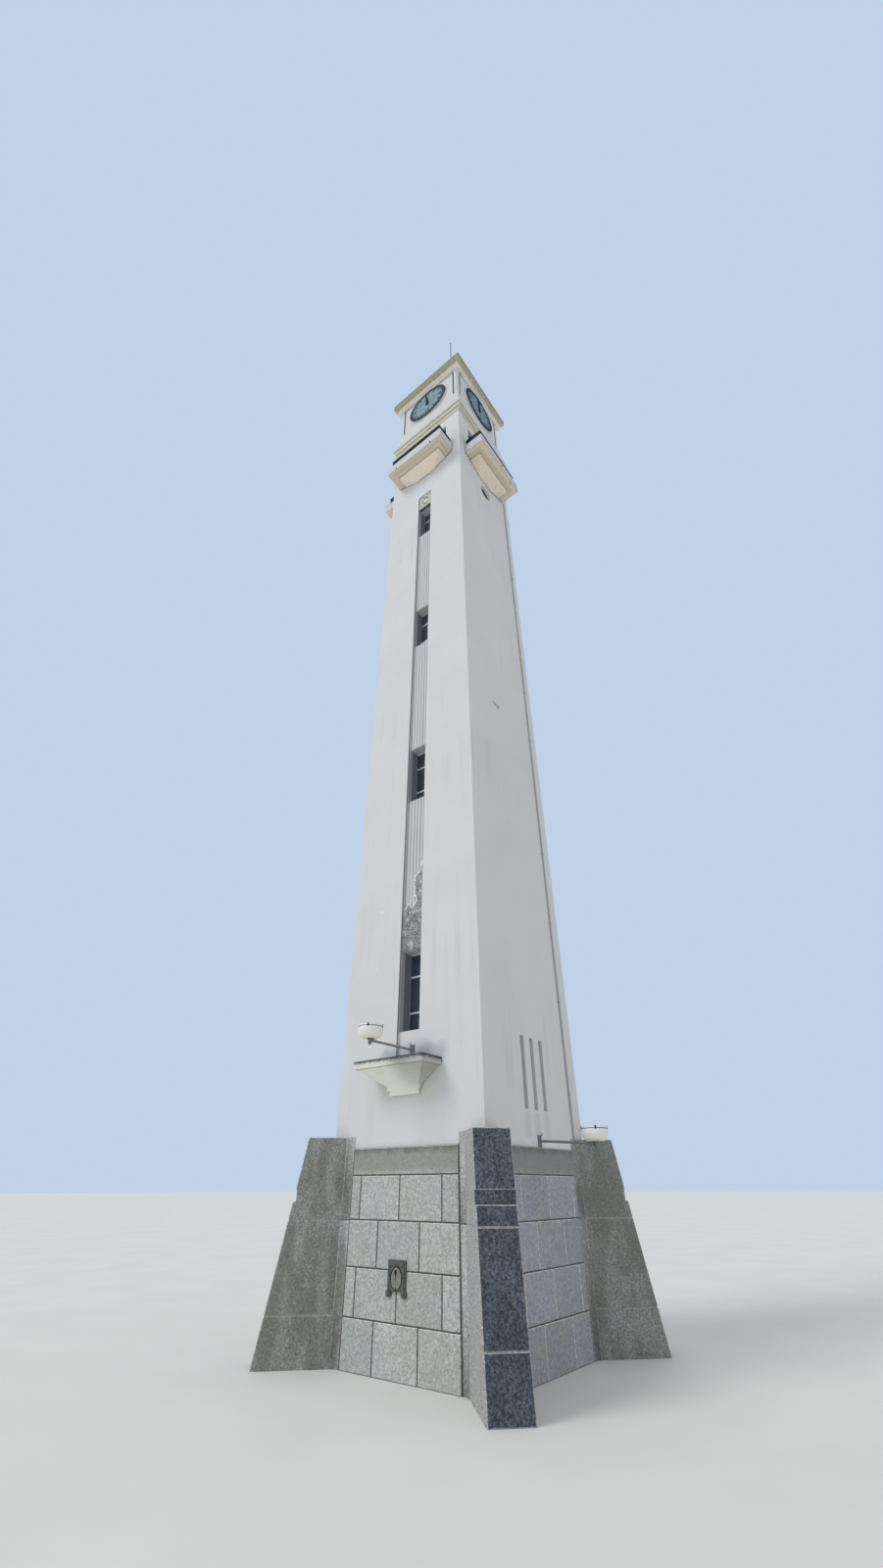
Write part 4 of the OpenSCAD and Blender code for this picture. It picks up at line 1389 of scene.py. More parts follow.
@dataclass
class Buttresses:
    """The four buttresses: stones with chamfered joints, a recessed band and hollow curves."""

    reach: float = 2.293
    batter: float = 0.174
    wide: float = 0.404
    stones: tuple[Span, ...] = ((0.0, 0.433), (0.433, 1.268), (1.268, 1.440), (1.558, BUTTRESS_TOP))
    band: Span = (1.440, 1.558)
    band_depth: float = 0.036
    edge: float = 0.009
    cove: float = 0.150
    cove_steps: int = 10
    cove_gap: float = 0.005
    gap: float = 0.0006
    side_joints: Span = (0.433, 1.268)

    def build(self) -> None:
        """Makes all four buttresses in place of their plain solids."""
        piece = Piece("stone_buttresses", (CORNER_STONE, JOINT_STONE, COVE_STONE), Slot.WEATHERED)
        joint = self.side_joints[-1]
        for number in range(4):
            made = [v for low, high in self.stones for v in self._stone(piece, low, high)]
            made += self._band(piece)
            for way in (1, -1):
                made += self._cove(piece, way, 0.0, joint - self.cove_gap)
                made += self._cove(piece, way, joint + self.cove_gap, BUTTRESS_TOP)
            piece.carry(Matrix.Rotation(math.radians(45 + 90 * number), 4, "Z"), made)
        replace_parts(piece.finish(smooth=None), "buttresses")

    def _face_x(self, z: float) -> float:
        """Distance of the outer face from the axis at height z."""
        return self.reach - self.batter * z

    def _apex(self, z: float) -> float:
        """Distance of the tower's corner from the axis at height z, with the gap."""
        return (half(z) + self.gap) * math.sqrt(2)

    def _plan(self, z: float, face: float) -> list[Vector]:
        """Outline of a buttress at one height, with the notch that clears the tower's corner.

        Args:
            z: The height.
            face: Distance of the outer face from the axis.

        Returns:
            The corners in order.
        """
        w, apex = self.wide / 2, self._apex(z)
        corners = ((face, -w), (face, w), (apex - w, w), (apex, 0.0), (apex - w, -w))
        return [Vector((x, y, z)) for x, y in corners]

    @staticmethod
    def _loft(piece: Piece, low: list[Vector], high: list[Vector]) -> Verts:
        """Extrudes one outline up to another.

        Args:
            piece: The piece under work.
            low: Lower corners.
            high: Upper corners, one for each lower one.

        Returns:
            The new vertices.
        """
        foot = [piece.mesh.verts.new(spot) for spot in low]
        face = piece.mesh.faces.new(foot)
        head = verts_in(bmesh.ops.extrude_face_region(piece.mesh, geom=[face], use_keep_orig=True)["geom"])
        for vert in head:
            nearest = min(range(len(low)), key=lambda i: (low[i] - vert.co).length)
            vert.co = high[nearest]
        return foot + head

    def _stone(self, piece: Piece, low: float, high: float) -> Verts:
        """Makes one stone with chamfered edges on its open faces.

        Args:
            piece: The piece under work.
            low: Height of its foot.
            high: Height of its top.

        Returns:
            The stone's vertices.
        """
        before = set(piece.mesh.verts)
        corners = self._plan(low, self._face_x(low)), self._plan(high, self._face_x(high))
        verts = self._loft(piece, *corners)
        inner = half(high) * math.sqrt(2) - 0.01
        edges = {e for v in verts for e in v.link_edges}
        faces = piece.chamfer([e for e in edges if self._is_open(e, inner)], self.edge)
        piece.mesh.normal_update()
        for face in faces:
            face.material_index = 1 if abs(face.normal.z) > 0.3 else 0
        return [v for v in piece.mesh.verts if v not in before]

    def _is_open(self, edge: bmesh.types.BMEdge, inner: float) -> bool:
        """Whether an edge lies on an outer or side face and borders a joint or a corner.

        Args:
            edge: The edge of a stone.
            inner: Distance from the axis within which the tower hides the stone.

        Returns:
            True for an edge to be chamfered.
        """
        a, b = (v.co for v in edge.verts)
        w = self.wide / 2 - 0.001
        if max(a.x, b.x) < inner + 0.05 and min(abs(a.y), abs(b.y)) < w:
            return False
        if abs(a.z - b.z) > 0.01 or abs(a.y - b.y) > 0.01:
            return min(a.x, b.x) > inner
        crosses = a.z > BUTTRESS_TOP - 0.001 or any(abs(a.z - z) < 0.001 for z in self.side_joints)
        return crosses and abs(a.y) > w and abs(b.y) > w

    def _band(self, piece: Piece) -> Verts:
        """Makes the recessed band between the stones.

        Args:
            piece: The piece under work.

        Returns:
            The band's vertices.
        """
        low, high = self.band
        face = self._face_x(low) - self.band_depth
        return self._loft(piece, self._plan(low, face), self._plan(high, face))

    def _cove(self, piece: Piece, way: int, low: float, high: float) -> Verts:
        """Makes part of the hollow curve that fills the corner between a side and the wall.

        Args:
            piece: The piece under work.
            way: Which side of the buttress.
            low: Height of the part's foot.
            high: Height of its top.

        Returns:
            The curve's vertices.
        """
        w = self.wide / 2
        sweep = math.radians(45)
        lean = math.radians(67.5)
        away = self.cove / math.cos(sweep / 2) * Vector((math.cos(lean), math.sin(lean)))
        turns = [-math.pi / 2 - sweep * i / self.cove_steps for i in range(self.cove_steps + 1)]
        outlines = []
        for z in (low, high):
            corner = Vector((self._apex(z) - w, w))
            curve = [corner + away + self.cove * Vector((math.cos(t), math.sin(t))) for t in turns]
            flat = [corner - Vector((0.0, 0.002))] + curve
            outlines.append([Vector((p.x, way * p.y, z)) for p in flat])
        made = self._loft(piece, *outlines)
        piece.mesh.normal_update()
        piece.paint(made, 2)
        for face in faces_of(made):
            face.smooth = len(face.verts) == 4
        return made


@dataclass
class Carvings:
    """Carved panels over the first and the last window of the strip, front and back."""

    low: Span = (4.301, 4.831)
    high: Span = (15.003, 15.479)
    relief: float = 0.026
    cells: tuple[int, int] = (60, 78)
    least: float = 0.05
    gap: Span = (0.004, 0.003)
    back: float = 0.003
    scrolls: tuple[tuple[float, float, float, int], ...] = (
        (0.62, 0.62, 0.36, 1), (0.62, -0.58, 0.38, -1), (0.70, 0.02, 0.24, 1),
    )
    petals: Span = (-0.86, 0.88)

    def build(self) -> None:
        """Makes the carved faces."""
        for side in STRIP_SIDES:
            self._panel(f"carving_top_{side.label}", side, CARVING, self.high, self._scrolls)
            self._panel(f"carving_low_{side.label}", side, BARE_RENDER, self.low, self._broken)

    def _panel(
        self, name: str, side: Side, finish: Finish, span: Span, shape: Callable[[float, float], float]
    ) -> None:
        """Makes one carved face as a thin closed sheet.

        Args:
            name: The piece's name.
            side: The face of the tower.
            finish: The sheet's finish.
            span: Its lowest and highest height.
            shape: Height of the relief at (-1..1, -1..1).
        """
        piece = Piece(name, (finish,), Slot.CREAM)
        bmesh.ops.create_grid(piece.mesh, x_segments=self.cells[0], y_segments=self.cells[1], size=1.0)
        wide, tall = STRIP_HALF - self.gap[0], (span[1] - span[0]) / 2 - self.gap[1]
        middle = (span[0] + span[1]) / 2
        rim = {v for v in piece.mesh.verts if max(abs(v.co.x), abs(v.co.y)) > 0.999}
        for vert in piece.mesh.verts:
            x, y = vert.co.x, vert.co.y
            lift = 0.0 if vert in rim else self.relief * max(self.least, min(1.0, shape(x, y)))
            vert.co = Vector((x * wide, STRIP_DEPTH - 0.001 - lift, middle + y * tall))
        edges = [e for e in piece.mesh.edges if e.is_boundary]
        back = verts_in(bmesh.ops.extrude_edge_only(piece.mesh, edges=edges)["geom"])
        bmesh.ops.translate(piece.mesh, vec=(0.0, self.back, 0.0), verts=back)
        ends = [e for e in piece.mesh.edges if e.is_boundary]
        bmesh.ops.contextual_create(piece.mesh, geom=ends)
        piece.settle(side.wall, smooth=True)

    def _scrolls(self, x: float, y: float) -> float:
        """Height of a mirrored leaf and scroll pattern.

        Args:
            x: Place along the panel.
            y: Place up the panel.

        Returns:
            Share of the full relief.
        """
        side = abs(x)
        boss = max(0.0, 1.0 - (side / 0.42) ** 2 - (y / 0.30) ** 2)
        total = 0.9 * math.sqrt(boss)
        for cx, cy, size, way in self.scrolls:
            dx, dy = (side - cx) / size, (y - cy) / size
            away, turn = math.hypot(dx, dy), math.atan2(dy, dx)
            if away < 1.15:
                arm = 0.5 + 0.5 * math.cos(way * turn - 6.5 * away)
                total = max(total, (1.0 - 0.35 * away) * arm ** 0.8)
        for cy in self.petals:
            petal = 1.0 - (side / 0.30) ** 2 - ((y - cy) / 0.20) ** 2
            total = max(total, 0.8 * math.sqrt(max(0.0, petal)))
        rough = noise.noise(Vector((x * 5.0, y * 6.0, 1.7)))
        return 0.18 + 0.75 * total + 0.10 * rough

    @staticmethod
    def _broken(x: float, y: float) -> float:
        """Height of the broken panel: rough render with the rest of a carving in its middle.

        Args:
            x: Place along the panel.
            y: Place up the panel.

        Returns:
            Share of the full relief.
        """
        where = Vector((x * 4.5, y * 6.0, 4.2))
        rough = noise.turbulence(
            where, 4, True, noise_basis="VORONOI_F1", amplitude_scale=0.6, frequency_scale=2.0
        )
        left = max(0.0, 1.0 - ((x + 0.15) / 0.45) ** 2 - ((y - 0.35) / 0.42) ** 2)
        return 0.06 + 0.60 * min(1.3, rough) + 0.35 * math.sqrt(left)


@dataclass
class PeeledPaint:
    """Bare render and curled paint flakes over the broken panel, front only."""

    edge: tuple[Span, ...] = (
        (-STRIP_HALF, 4.895), (-0.135, 4.925), (-0.089, 5.000), (-0.052, 4.925), (-0.022, 4.905),
        (0.025, 4.960), (0.066, 5.005), (0.030, 5.110), (0.005, 5.280), (0.018, 5.360),
        (0.040, 5.402), (0.095, 5.440), (0.129, 5.499), (0.150, 5.600), (STRIP_HALF, 5.640),
    )
    steps: int = 6
    wobble: float = 0.010
    foot: float = 4.833
    patch_front: float = STRIP_DEPTH - 0.0015
    patch_thick: float = 0.004
    flake_thick: float = 0.0045
    shortest: float = 0.002

    def build(self) -> None:
        """Makes the bare patch and its rim of flakes."""
        outline = self._outline()
        self._patch(outline)
        self._flakes(outline)

    def _outline(self) -> list[Vector]:
        """Gives the torn edge with small steps between its corners.

        Returns:
            Points from left to right along the edge, as (along, height).
        """
        points: list[Vector] = []
        for (xa, za), (xb, zb) in zip(self.edge, self.edge[1:]):
            for i in range(self.steps):
                t = i / self.steps
                spot = Vector((xa + (xb - xa) * t, za + (zb - za) * t, 0.0))
                swing = noise.noise_vector(spot * 38.0) * self.wobble
                points.append(Vector((within(spot.x + swing.x, STRIP_HALF), spot.y + swing.y)))
        points.append(Vector(self.edge[-1]))
        return points

    def _patch(self, outline: list[Vector]) -> None:
        """Makes the bare render below the torn edge as a thin closed slab.

        Args:
            outline: The torn edge.
        """
        piece = Piece("bare_patch", (BARE_RENDER,), Slot.CREAM)
        reach = STRIP_HALF - 0.001
        spots = [(p.x, p.y) for p in outline] + [(reach, self.foot), (-reach, self.foot)]
        face = piece.mesh.faces.new([piece.mesh.verts.new((x, self.patch_front, z)) for x, z in spots])
        back = verts_in(bmesh.ops.extrude_face_region(piece.mesh, geom=[face])["geom"])
        bmesh.ops.translate(piece.mesh, vec=(0.0, self.patch_thick, 0.0), verts=back)
        bmesh.ops.triangulate(piece.mesh, faces=[f for f in piece.mesh.faces if len(f.verts) > 4])
        piece.settle(Side.FRONT.wall)

    def _flakes(self, outline: list[Vector]) -> None:
        """Makes the pale flakes that curl from the torn edge.

        Args:
            outline: The torn edge.
        """
        piece = Piece("paint_flakes", (FLAKE_WHITE,), Slot.PLASTER)
        for i, (a, b) in enumerate(zip(outline, outline[1:])):
            run = b - a
            if run.length < self.shortest:
                continue
            tall = 0.010 + 0.060 * abs(noise.noise(Vector((i * 0.43, 2.0, 0.0))))
            across = Vector((-run.y, run.x)).normalized()
            along = Vector((run.x, 0.0, run.y)) * 1.1
            up = Vector((across.x, 0.0, across.y)) * tall
            depth = STRIP_DEPTH - self.flake_thick
            middle = Vector(((a.x + b.x) / 2, depth, (a.y + b.y) / 2)) + up * 0.35
            place = Matrix((
                (along.x, 0.0, up.x, middle.x),
                (0.0, self.flake_thick, 0.0, middle.y),
                (along.z, 0.0, up.z, middle.z),
                (0.0, 0.0, 0.0, 1.0),
            ))
            piece.carry(place, piece.block((-0.5, -0.5, -0.5), (0.5, 0.5, 0.5)))
        for vert in piece.mesh.verts:
            vert.co.x = within(vert.co.x, STRIP_HALF)
        piece.settle(Side.FRONT.wall)


@dataclass
class Tablet:
    """Relief tablet on the front base wall: a framed leaf over two round feet."""

    centre: float = -0.024
    foot: float = 0.620
    wide: float = 0.246
    tall: float = 0.320
    thick: float = 0.030
    body_foot: float = 0.058
    feet_in: float = 0.018
    feet_height: float = 0.044
    stile: float = 0.007
    wall_gap: float = 0.0005

    def build(self) -> None:
        """Makes the tablet in place of its plain solid."""
        piece = Piece("leaf_tablet", (TABLET_STONE, LEAF_STONE, STEM_DARK), Slot.WEATHERED)
        w, t, top = self.wide / 2, self.thick, self.tall
        piece.block((-w, -t, self.body_foot), (w, 0.0, top))
        piece.block((-w * 0.86, -t * 1.15, top - 0.050), (w * 0.86, -t + 0.001, top - 0.012))
        for s in (-1, 1):
            x = s * (w - self.feet_in)
            for deep, radius, sides in ((t * 1.3, 0.034, 24), (t * 1.6, 0.016, 16)):
                piece.rod((x, 0.0, self.feet_height), (x, -deep, self.feet_height), radius, sides)
            x = s * w * 0.80
            piece.block((x - self.stile, -t * 1.25, 0.080), (x + self.stile, -t + 0.001, top - 0.055))
        piece.soften(0.004, 2)
        self._oval(piece, 2, (0.0, -t, 0.168), (0.083, 0.004, 0.104))
        self._oval(piece, 1, (0.0, -t - 0.001, 0.165), (0.072, 0.014, 0.095))
        stem = piece.rod((0.0, -t - 0.004, 0.070), (0.0, -t - 0.017, 0.235), 0.0055, 8)
        stem += piece.rod((0.0, -t - 0.006, 0.222), (0.0, -t - 0.019, 0.222), 0.016, 16)
        stem += piece.rod((0.0, -t - 0.004, 0.180), (0.0, -t - 0.018, 0.215), 0.010, 10)
        piece.paint(stem, 2)
        piece.carry(Matrix.Translation((self.centre, -self.wall_gap, self.foot)))
        made = piece.settle(Side.FRONT.wall)
        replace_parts(made, "plaque")

    @staticmethod
    def _oval(piece: Piece, finish: int, centre: Point, size: Point) -> None:
        """Adds a pointed oval boss.

        Args:
            piece: The piece under work.
            finish: Number of the finish it takes.
            centre: Its middle.
            size: Its half sizes.
        """
        verts = bmesh.ops.create_uvsphere(piece.mesh, u_segments=28, v_segments=16, radius=1.0)["verts"]
        for vert in verts:
            vert.co.x *= 1.0 - 0.30 * abs(vert.co.z) ** 3
        piece.carry(Matrix.Translation(centre) @ Matrix.Diagonal((*size, 1.0)), verts)
        piece.paint(verts, finish)


@dataclass(frozen=True)
class Lamp:
    """Place of one bowl lamp: its face, its arm's root and the droop of its arm."""

    side: Side
    along: float
    height: float
    depth: float
    droop: float


@dataclass
class LampTrim:
    """Rims, clips, clamps and bolts of the two bowl lamps."""

    arm: float = 0.725
    rim: float = 0.1452
    bowl_foot: float = 0.020
    bowl_tall: float = 0.142
    bowl_wall: float = 0.007
    bowl_steps: int = 14
    seal: float = 0.003
    seal_out: float = 0.0015
    clips: int = 4
    clip_wide: float = 0.008
    first_clip: float = 0.35
    bolt_across: float = 0.024
    bolt_up: float = 0.045
    lamps: tuple[Lamp, ...] = (
        Lamp(Side.FRONT, 0.046, 3.010, STRIP_DEPTH, 0.0),
        Lamp(Side.RIGHT, 0.0, 2.035, 0.0, 0.045),
    )

    def build(self) -> None:
        """Makes the bowls and the trim of both lamps."""
        self._bowls()
        for lamp in self.lamps:
            self._rim(lamp)
            self._clamp(lamp)
            self._bracket(lamp)

    def _end(self, lamp: Lamp) -> Matrix:
        """Place of the arm's end, with the wall behind it."""
        reach = half(lamp.height) + self.arm
        return lamp.side.turn @ Matrix.Translation((lamp.along, -reach, lamp.height - lamp.droop))

    def _bowl(self, lamp: Lamp) -> Matrix:
        """Place of the bowl's foot."""
        return self._end(lamp) @ Matrix.Translation((0.0, 0.0, self.bowl_foot))

    def _curve(self, inset: float) -> list[Span]:
        """Gives the bowl's quarter curve from its foot to its upright rim.

        Args:
            inset: Distance inside the outer surface.

        Returns:
            Points as (radius, height).
        """
        foot, rest, rise = 0.55 * self.rim, 0.45 * self.rim - inset, 0.58 * self.bowl_tall
        turns = [math.pi / 2 * i / self.bowl_steps for i in range(self.bowl_steps + 1)]
        return [(foot + rest * math.sin(t), inset + rise * (1.0 - math.cos(t))) for t in turns]

    def _bowls(self) -> None:
        """Makes both bowls as smooth hollow spins in place of their plain solids."""
        piece = Piece("smooth_bowls", (ENAMEL,), Slot.ENAMEL)
        r, tall, wall = self.rim, self.bowl_tall, self.bowl_wall
        edge = [(r, 0.84 * tall), (r - 0.002, 0.86 * tall), (r, 0.88 * tall), (r, tall), (r - wall, tall)]
        profile = [(0.0, 0.0)] + self._curve(0.0) + edge + self._curve(wall)[::-1] + [(0.0, wall)]
        for lamp in self.lamps:
            piece.carry(self._bowl(lamp), piece.ring(profile, 64))
        for face in piece.mesh.faces:
            heights = [v.co.z for v in face.verts]
            face.smooth = max(heights) - min(heights) > 1e-5
        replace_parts(piece.finish(smooth=None), "lamp_bowls")

    def _rim(self, lamp: Lamp) -> None:
        """Makes the dark seal round the bowl under its rim and the upright clips over it.

        Args:
            lamp: The lamp.
        """
        piece = Piece(f"lamp_rim_{lamp.side.label}", (DARK_PAINT,), Slot.IRON)
        r, seal, top = self.rim, 0.86 * self.bowl_tall, self.bowl_tall
        piece.band((r - self.seal, r + self.seal_out), (seal - self.seal, seal + self.seal), 48)
        for i in range(self.clips):
            turn = Matrix.Rotation(math.tau * (i + self.first_clip) / self.clips, 4, "Z")
            low = (r - 0.009, -self.clip_wide, seal - 0.010)
            piece.carry(turn, piece.block(low, (r + 0.004, self.clip_wide, top + 0.006)))
        piece.soften(0.001)
        piece.settle(self._bowl(lamp))

    def _clamp(self, lamp: Lamp) -> None:
        """Makes the clamp that holds the bowl's stub on the arm's end.

        Args:
            lamp: The lamp.
        """
        piece = Piece(f"lamp_clamp_{lamp.side.label}", (LAMP_METAL,), Slot.GREY_METAL)
        piece.rod((0.0, 0.0, -0.040), (0.0, 0.0, -0.048), 0.013, 16)
        piece.rod((0.0, 0.0, 0.010), (0.0, 0.0, 0.0195), 0.040, 24)
        piece.rod((0.0, 0.060, 0.002), (0.0, 0.020, 0.0), 0.019, 16)
        for z in (0.016, -0.016):
            piece.rod((-0.028, 0.0, z), (0.028, 0.0, z), 0.004, 8)
        piece.soften(0.0015)
        piece.settle(self._end(lamp))

    def _bracket(self, lamp: Lamp) -> None:
        """Makes the bolts and the hook of the wall plate and the collar at the arm's root.

        Args:
            lamp: The lamp.
        """
        piece = Piece(f"lamp_bracket_{lamp.side.label}", (LAMP_METAL,), Slot.GREY_METAL)
        root = Vector((lamp.along, lamp.depth, lamp.height))
        bars = [
            ((sx * self.bolt_across, -0.010, sz * self.bolt_up), (0.0, -0.008, 0.0), 0.007, 6)
            for sx in (-1, 1)
            for sz in (-1, 1)
        ]
        bars += [
            ((0.0, -0.008, 0.052), (0.0, -0.040, 0.004), 0.006, 10),
            ((0.0, -0.044, 0.052), (0.0, 0.0, 0.026), 0.006, 10),
            ((0.0, -0.008, 0.0), (0.0, -0.022, -0.001), 0.021, 20),
        ]
        for start, way, radius, sides in bars:
            spot = root + Vector(start)
            piece.rod(spot, spot + Vector(way), radius, sides)
        piece.settle(lamp.side.wall)


@dataclass
class ClockTrim:
    """Marks of one dial, double at the quarters, its thin rings, and the black edges of its rim."""

    quarter: Span = (0.388, 0.486)
    hour: Span = (0.404, 0.486)
    minute: Span = (0.486, 0.506)
    stroke: float = 0.040
    tick: float = 0.006
    apart: float = 0.074
    rings: tuple[Span, ...] = ((0.262, 0.004), (0.500, 0.004))
    mark_heights: Span = (DIAL_FRONT - 0.0005, DIAL_FRONT + 0.0020)
    rim_edges: tuple[Span, ...] = ((0.6320, 0.0058), (0.5385, 0.0060))
    rim_heights: Span = (0.0535, 0.0565)
    steps: int = 96

    def build(self) -> None:
        """Makes the marks and the rim's edges of all four dials."""
        for side in Side:
            self._marks(side)
            edges = Piece(f"rim_edges_{side.label}", (HAND_PAINT,), Slot.IRON)
            self._rings(edges, self.rim_edges, self.rim_heights)
            edges.settle(side.dial)

    def _rings(self, piece: Piece, rings: Iterable[Span], heights: Span) -> None:
        """Adds thin raised rings, each given by its radius and half of its width."""
        for radius, wide in rings:
            piece.band((radius - wide, radius + wide), heights, self.steps)

    def _stroke(self, piece: Piece, share: float, middle: float, wide: float, span: Span) -> None:
        """Adds one straight mark.

        Args:
            piece: The piece under work.
            share: Its place on the dial, as a share of the full turn.
            middle: How far it stands beside the line through the dial's centre.
            wide: Its width.
            span: Its inner and outer end.
        """
        low, high = self.mark_heights
        verts = piece.block((middle - wide / 2, span[0], low), (middle + wide / 2, span[1], high))
        piece.carry(Matrix.Rotation(-math.tau * share, 4, "Z"), verts)

    def _marks(self, side: Side) -> None:
        """Makes one dial's marks.

        Args:
            side: The dial's face of the tower.
        """
        piece = Piece(f"dial_marks_{side.label}", (HAND_PAINT,), Slot.HAND)
        for number in range(12):
            main = number % 3 == 0
            for middle in (-self.apart / 2, self.apart / 2) if main else (0.0,):
                self._stroke(piece, number / 12, middle, self.stroke, self.quarter if main else self.hour)
        for minute in (m for m in range(60) if m % 5):
            self._stroke(piece, minute / 60, 0.0, self.tick, self.minute)
        self._rings(piece, self.rings, self.mark_heights)
        piece.settle(side.dial)


@dataclass
class ShadeLines:
    """Dark line under the cornice, as a thin square frame round the tower."""

    height: float = 20.7795
    reach: float = 1.0140
    wide: float = 0.008
    thick: float = 0.002

    def build(self) -> None:
        """Makes the frame round the whole tower."""
        piece = Piece("shade_lines", (LINE_SHADE,), Slot.CREAM)
        outer = self.reach + self.wide
        low = (-outer, -outer, self.height - self.thick)
        high = (self.reach, -self.reach, self.height)
        for side in Side:
            piece.carry(side.turn, piece.block(low, high))
        piece.finish()


@dataclass
class BalconyTrim:
    """Drain spouts of the balconies, and dark lines of painted shade along the slab's outer edge and its
    step.
    """

    wide: float = 0.824
    reach: float = 1.539
    front_spouts: tuple[Span, ...] = ((-0.541, 16.522), (0.526, 16.514))
    side_spouts: tuple[Span, ...] = ((0.057, 16.628),)
    spout: float = 0.012
    lines: tuple[Point, ...] = ((0.002, 16.496, 16.503), (0.200, 16.4565, 16.459))
    line_wide: float = 0.0045
    gap: float = 0.0005

    def build(self) -> None:
        """Makes the trim of all four balconies."""
        for side in Side:
            self._spouts(side)
            self._lines(side)

    def _spouts(self, side: Side) -> None:
        """Makes the short drain pipes in the face of one slab.

        Args:
            side: The balcony's face of the tower.
        """
        piece = Piece(f"balcony_spouts_{side.label}", (DARK_PAINT,), Slot.IRON)
        for x, z in self.front_spouts if side in STRIP_SIDES else self.side_spouts:
            piece.rod((x, 0.004 - self.reach, z), (x, -self.reach - 0.026, z - 0.004), self.spout, 14)
        piece.settle(side.turn)

    def _lines(self, side: Side) -> None:
        """Makes the dark lines of painted shade along the slab's outer edge and along its step, on three
        sides.

        Args:
            side: The balcony's face of the tower.
        """
        piece = Piece(f"balcony_lines_{side.label}", (LINE_SHADE,), Slot.CREAM)
        back = -half(SLAB_FOOT) - 0.001
        for inset, low, high in self.lines:
            w, y = self.wide - inset, inset - self.reach
            outer = w + self.line_wide
            piece.block((-outer, y - self.line_wide, low), (outer, y - self.gap, high))
            for s in (-1, 1):
                piece.block((s * (w + self.gap), y, low), (s * outer, back, high))
        piece.settle(side.turn)


@dataclass
class WindowJambs:
    """Linings on the jambs of the deep windows, front and back, darker deeper in: painted shade with dirt.
    """

    sills: tuple[float, ...] = (3.247, 6.766, 10.349, 13.949)
    tall: float = 1.054
    near: float = 0.047
    deep: float = 0.2175
    thick: float = 0.0015
    gap: float = 0.0002
    end_gap: float = 0.001

    def build(self) -> None:
        """Makes the linings of both walls."""
        for side in STRIP_SIDES:
            piece = Piece(f"window_jambs_{side.label}", (JAMB_PAINT,), Slot.PLASTER)
            for sill in self.sills:
                low, high = sill + self.end_gap, sill + self.tall - self.end_gap
                for s in (-1, 1):
                    near = (s * (STRIP_HALF - self.gap), self.near, low)
                    piece.block(near, (s * (STRIP_HALF - self.thick), self.deep, high))
            piece.settle(side.wall)


@dataclass
class PanelLips:
    """Pale moulded lip along the foot of the upper carved panel, with a dark strip behind it under the
    panel: painted shade with dirt.
    """

    foot: float = 15.003
    deep: float = 0.085
    beads: int = 13
    bead_out: float = 0.018
    reach: float = STRIP_HALF - 0.003

    def build(self) -> None:
        """Makes the lips and the dark strips of painted shade with dirt on both walls."""
        reach, foot, face = self.reach, self.foot, STRIP_DEPTH
        pitch = 2 * reach / self.beads
        for side in STRIP_SIDES:
            lip = Piece(f"panel_lips_{side.label}", (CARVING,), Slot.CREAM)
            underside_shade = Piece(f"panel_underside_shade_{side.label}", (SLOT_SHADE,), Slot.CREAM)
            underside_shade.block((-reach, face - 0.002, foot - 0.004), (reach, self.deep, foot + 0.0005))
            lip.block((-reach, face - 0.020, foot + 0.001), (reach, face - 0.001, foot + 0.022))
            for number in range(self.beads):
                start = Vector((-reach + pitch * (number + 0.5), face - 0.012, foot + 0.010))
                lip.rod(start, start + Vector((0.0, -self.bead_out, 0.0)), pitch * 0.47, 10)
            lip.settle(side.wall)
            underside_shade.settle(side.wall)


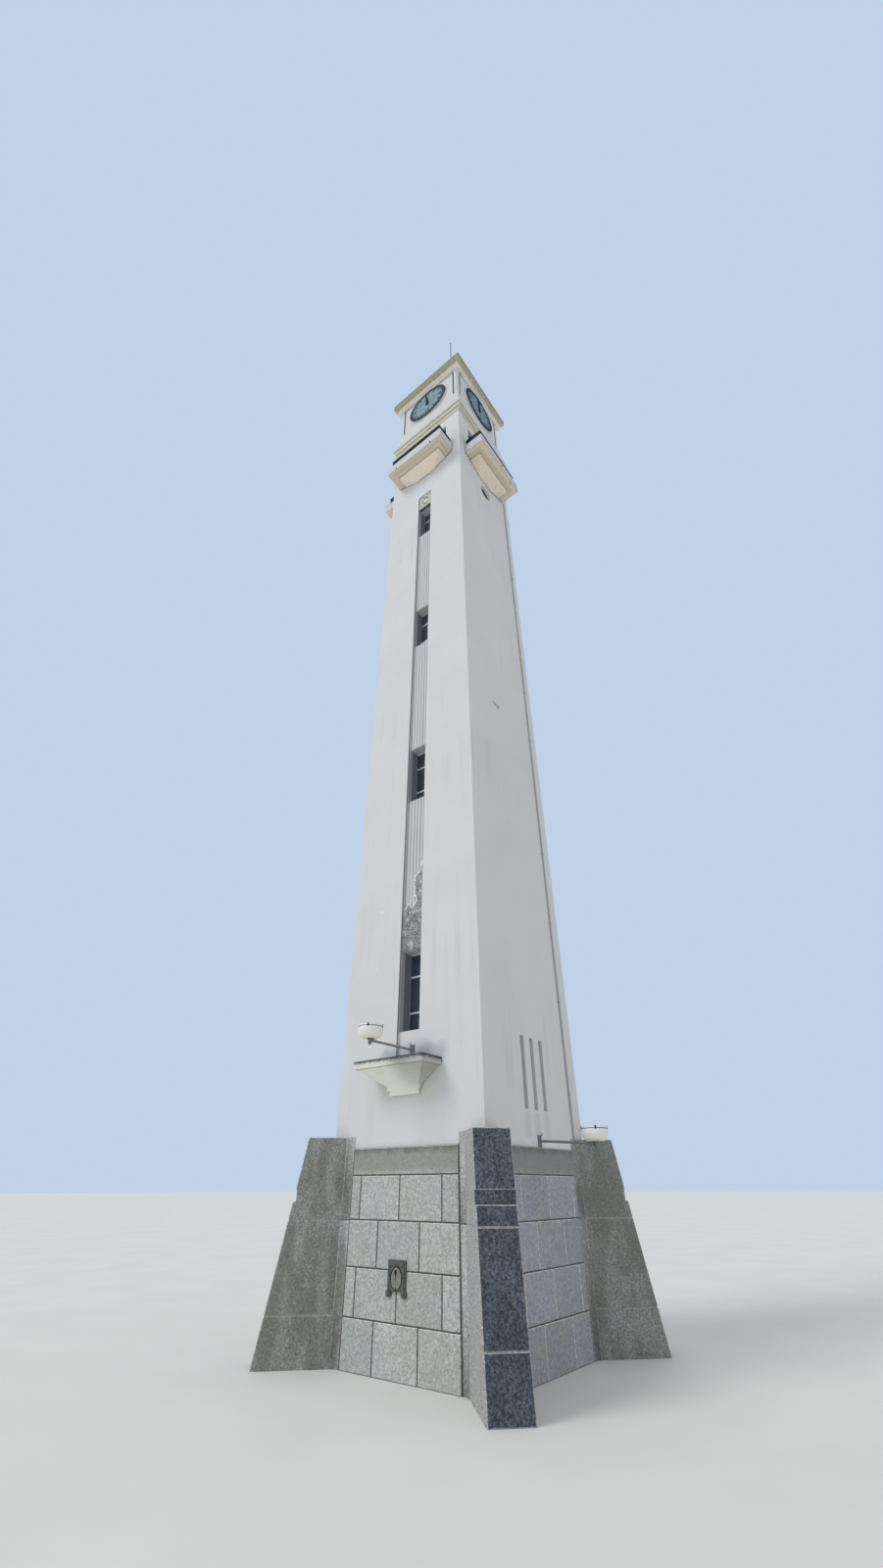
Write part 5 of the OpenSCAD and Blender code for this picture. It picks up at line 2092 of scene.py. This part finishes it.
@dataclass
class RoundWindowEdges:
    """Thin dark edges round the openings of the round windows."""

    radius: float = 0.190
    wide: float = 0.0055
    heights: Span = (-0.001, 0.0025)

    def build(self) -> None:
        """Makes the edges on both side walls."""
        stand = Matrix.Translation((0.0, 0.0, ROUND_WINDOW)) @ Matrix.Rotation(math.radians(90), 4, "X")
        for side in PLAIN_SIDES:
            piece = Piece(f"round_window_edge_{side.label}", (LINE_SHADE,), Slot.PLASTER)
            piece.band((self.radius, self.radius + self.wide), self.heights, 64)
            piece.settle(side.wall @ stand)


@dataclass
class CornerSlots:
    """Dark backs inside the grooves beside the corner columns: painted shade."""

    middle: float = 0.877
    half_wide: float = 0.0245
    near: float = 0.012
    deep: float = 0.069
    low: float = 19.467
    high: float = 20.779

    def build(self) -> None:
        """Makes two backs on each side."""
        piece = Piece("slot_backs", (SLOT_SHADE,), Slot.PLASTER)
        for side in Side:
            for x in (-self.middle, self.middle):
                low = (x - self.half_wide, self.near - STAGE_HALF, self.low)
                high = (x + self.half_wide, self.deep - STAGE_HALF, self.high)
                piece.carry(side.turn, piece.block(low, high))
        piece.finish()


@dataclass
class WallFittings:
    """Straps of the conductor pipe."""

    pipe_y: float = 0.884
    first: float = 2.6
    last: float = 16.3
    pitch: float = 1.2
    tall: float = 0.02

    def build(self) -> None:
        """Makes the straps that hold the conductor pipe to the right-hand wall."""
        piece = Piece("pipe_straps", (GREY_PAINT,), Slot.GREY_METAL)
        height = self.first
        while height < self.last:
            top = height + self.tall
            for wide, far, near in ((0.032, -0.003, 0.0), (0.016, -0.029, -0.002)):
                piece.block((self.pipe_y - wide, far, height), (self.pipe_y + wide, near, top))
            height += self.pitch
        piece.soften(0.002)
        piece.settle(Side.RIGHT.wall)


def write_sizes() -> None:
    """Updates the view layer."""
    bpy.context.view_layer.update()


def main() -> None:
    """Builds the studio, dresses the solids and adds each sub-assembly."""
    logging.basicConfig(level=logging.INFO, format="%(message)s")
    parts = (
        Studio(), Solids(), StoneBase(), Buttresses(), Carvings(), PeeledPaint(), Tablet(),
        LampTrim(), ClockTrim(), ShadeLines(), BalconyTrim(), WindowJambs(), PanelLips(), RoundWindowEdges(),
        CornerSlots(), WallFittings(),
    )
    for part in parts:
        part.build()
        LOG.info("%s built", type(part).__name__)
    write_sizes()


if __name__ == "__main__":
    main()
